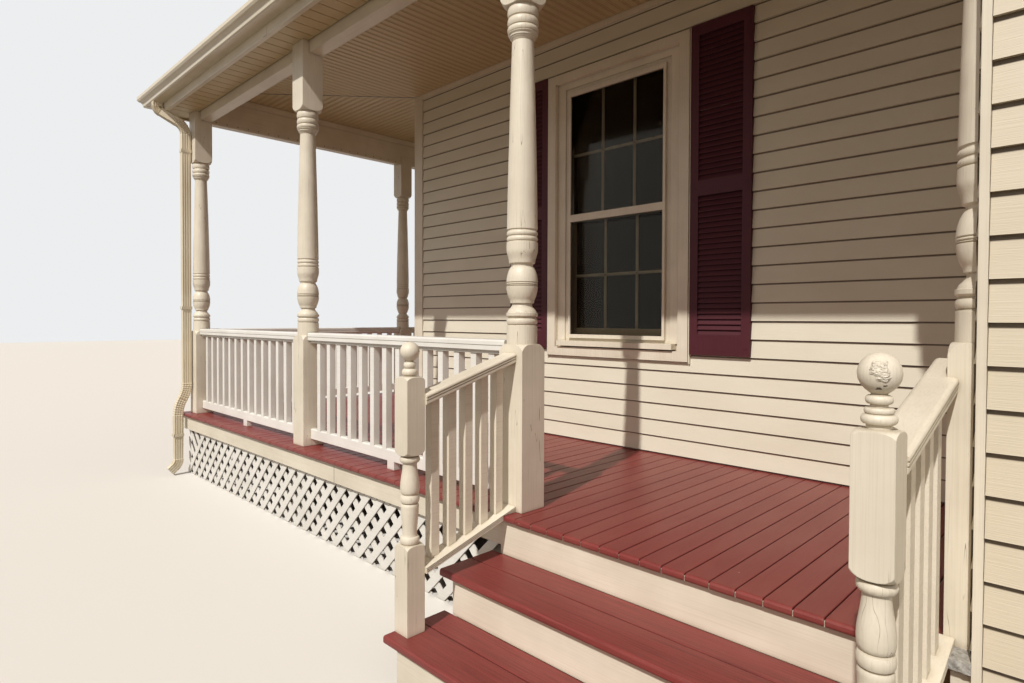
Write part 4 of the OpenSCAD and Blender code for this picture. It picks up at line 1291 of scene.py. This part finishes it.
piece("fluted_downspout", [pipe()], enamel, ["downspout"])
straps = []
for z in (deck + 2250, deck + 900, 330):
    y = pipe_y if z > deck + 190 else foot_y
    straps += [block((pipe_x - 28, y - 40.5, z), (pipe_x + 28, y - 38, z + 25)),
               block((pipe_x - 28, y - 40.5, z), (pipe_x - 25.5, y + 40, z + 25)),
               block((pipe_x + 25.5, y - 40.5, z), (pipe_x + 28, y + 40, z + 25))]
piece("pipe_straps", straps, enamel)
print(len(straps) // 3, "straps")

# %% [markdown]
# Bars with bevelled edges cut each sash into six lights. Before them hangs a storm
# window with two clear panes, and flat strips, the blind stops, close it to the
# casing. A painted grid on the glass would look flat at a slant, so the bars are true
# sections, drawn out up and across, and every sheet of glass is 4 mm thick.

# %% Window bars and panes
light_x0, light_x1 = 1766, 2514
bar_depth = 9
upper_y, upper_low, upper_high = 39.5, deck + 1535, deck + 2381
lower_y, lower_low, lower_high = 75.5, deck + 765, deck + 1500
bars = []
for sash_y, low, high, cross in ((upper_y, upper_low, upper_high, deck + 1958),
                                 (lower_y, lower_low, lower_high, deck + 1128)):
    front_face = sash_y - bar_depth
    for x in (2015, 2265):
        bars.append(bar("z", [(x - 10, sash_y), (x - 10, front_face + 5), (x - 5, front_face),
                              (x + 5, front_face), (x + 10, front_face + 5), (x + 10, sash_y)],
                        low, high))
    bars.append(bar("x", [(sash_y, cross - 10), (front_face + 5, cross - 10), (front_face, cross - 5),
                          (front_face, cross + 5), (front_face + 5, cross + 10),
                          (sash_y, cross + 10)], light_x0, light_x1))
piece("window_bars", bars, cream_up)
sash_panes = [block((light_x0, upper_y, upper_low), (light_x1, upper_y + 4, upper_high)),
              block((light_x0, lower_y, lower_low), (light_x1, lower_y + 4, lower_high))]
piece("sash_panes", sash_panes, glass, ["window_glass"])
storm_panes = [block((1774, -1, deck + 722), (2499, 3, deck + 1495)),
               block((1774, -1, deck + 1544), (2499, 3, deck + 2355))]
piece("storm_panes", storm_panes, clear_glass)
stops = [block((1653, -2, deck + 677), (1722, 8, deck + 2463)),
         block((2550, -2, deck + 677), (2619, 8, deck + 2463)),
         block((1722, -2, deck + 2418), (2550, 8, deck + 2463))]
piece("blind_stops", stops, cream_up)
print(len(bars), "window bars")

# %% [markdown]
# The louvred shutters are screwed to the wall, and each screw is closed by a plug that
# is painted over, six to a shutter. A plug is a disc 16 mm wide that stands 2.5 mm
# proud. Twelve sides are enough, since it is only a few pixels wide.


# %% Shutter plugs
def disc(axis, centre, radius, a, b, n=12):
    """Short round plug along an axis."""
    outline = [(centre[0] + radius * math.cos(2 * math.pi * i / n),
                centre[1] + radius * math.sin(2 * math.pi * i / n)) for i in range(n)]
    return bar(axis, outline, a, b)


plugs = []
for left in (1210, 2696):
    for x in (left + 25, left + 341):
        for z in (deck + 665, deck + 1585, deck + 2495):
            plugs.append(disc("y", (x, z), 8, -31.5, -29))
piece("shutter_plugs", plugs, plum)
print(len(plugs), "shutter plugs")

# %% [markdown]
# A thin bent strip closes the inner bottom edge of each beam and is nailed every
# 94 mm; another closes the ceiling at the top of the beams. A nail head could be a
# spot of colour, but it throws a small shadow, so it is a disc 1.5 mm proud.

# %% Beam trim and nails
beam_low = deck + 2530
trim_top = ceiling_z - 2
nail_step = 94
edge_trim = [
    block((inner_x - 2, inner_y, beam_low - 14), (inner_x + 2, gable_y, beam_low + 16)),
    block((inner_x, inner_y - 2, beam_low - 1), (wall_end - 75, inner_y + 2, beam_low + 16)),
    block((inner_x, inner_y, trim_top - 50), (inner_x + 14, gable_y, trim_top)),
    block((inner_x, inner_y, trim_top - 38), (wall_end, inner_y + 14, trim_top)),
]
piece("beam_edge_trim", edge_trim, cream_deep)
nails = []
y = inner_y + 40
while y < gable_y - 23:
    nails.append(disc("x", (y, beam_low + 8), 4, inner_x + 1.5, inner_x + 3.5, 8))
    y += nail_step
x = inner_x + 60
while x < wall_end - 100:
    nails.append(disc("y", (x, beam_low + 8), 4, inner_y + 1.5, inner_y + 3.5, 8))
    x += nail_step
piece("beam_nails", nails, nail_steel_and_joint_shade)
print(len(nails), "nails")
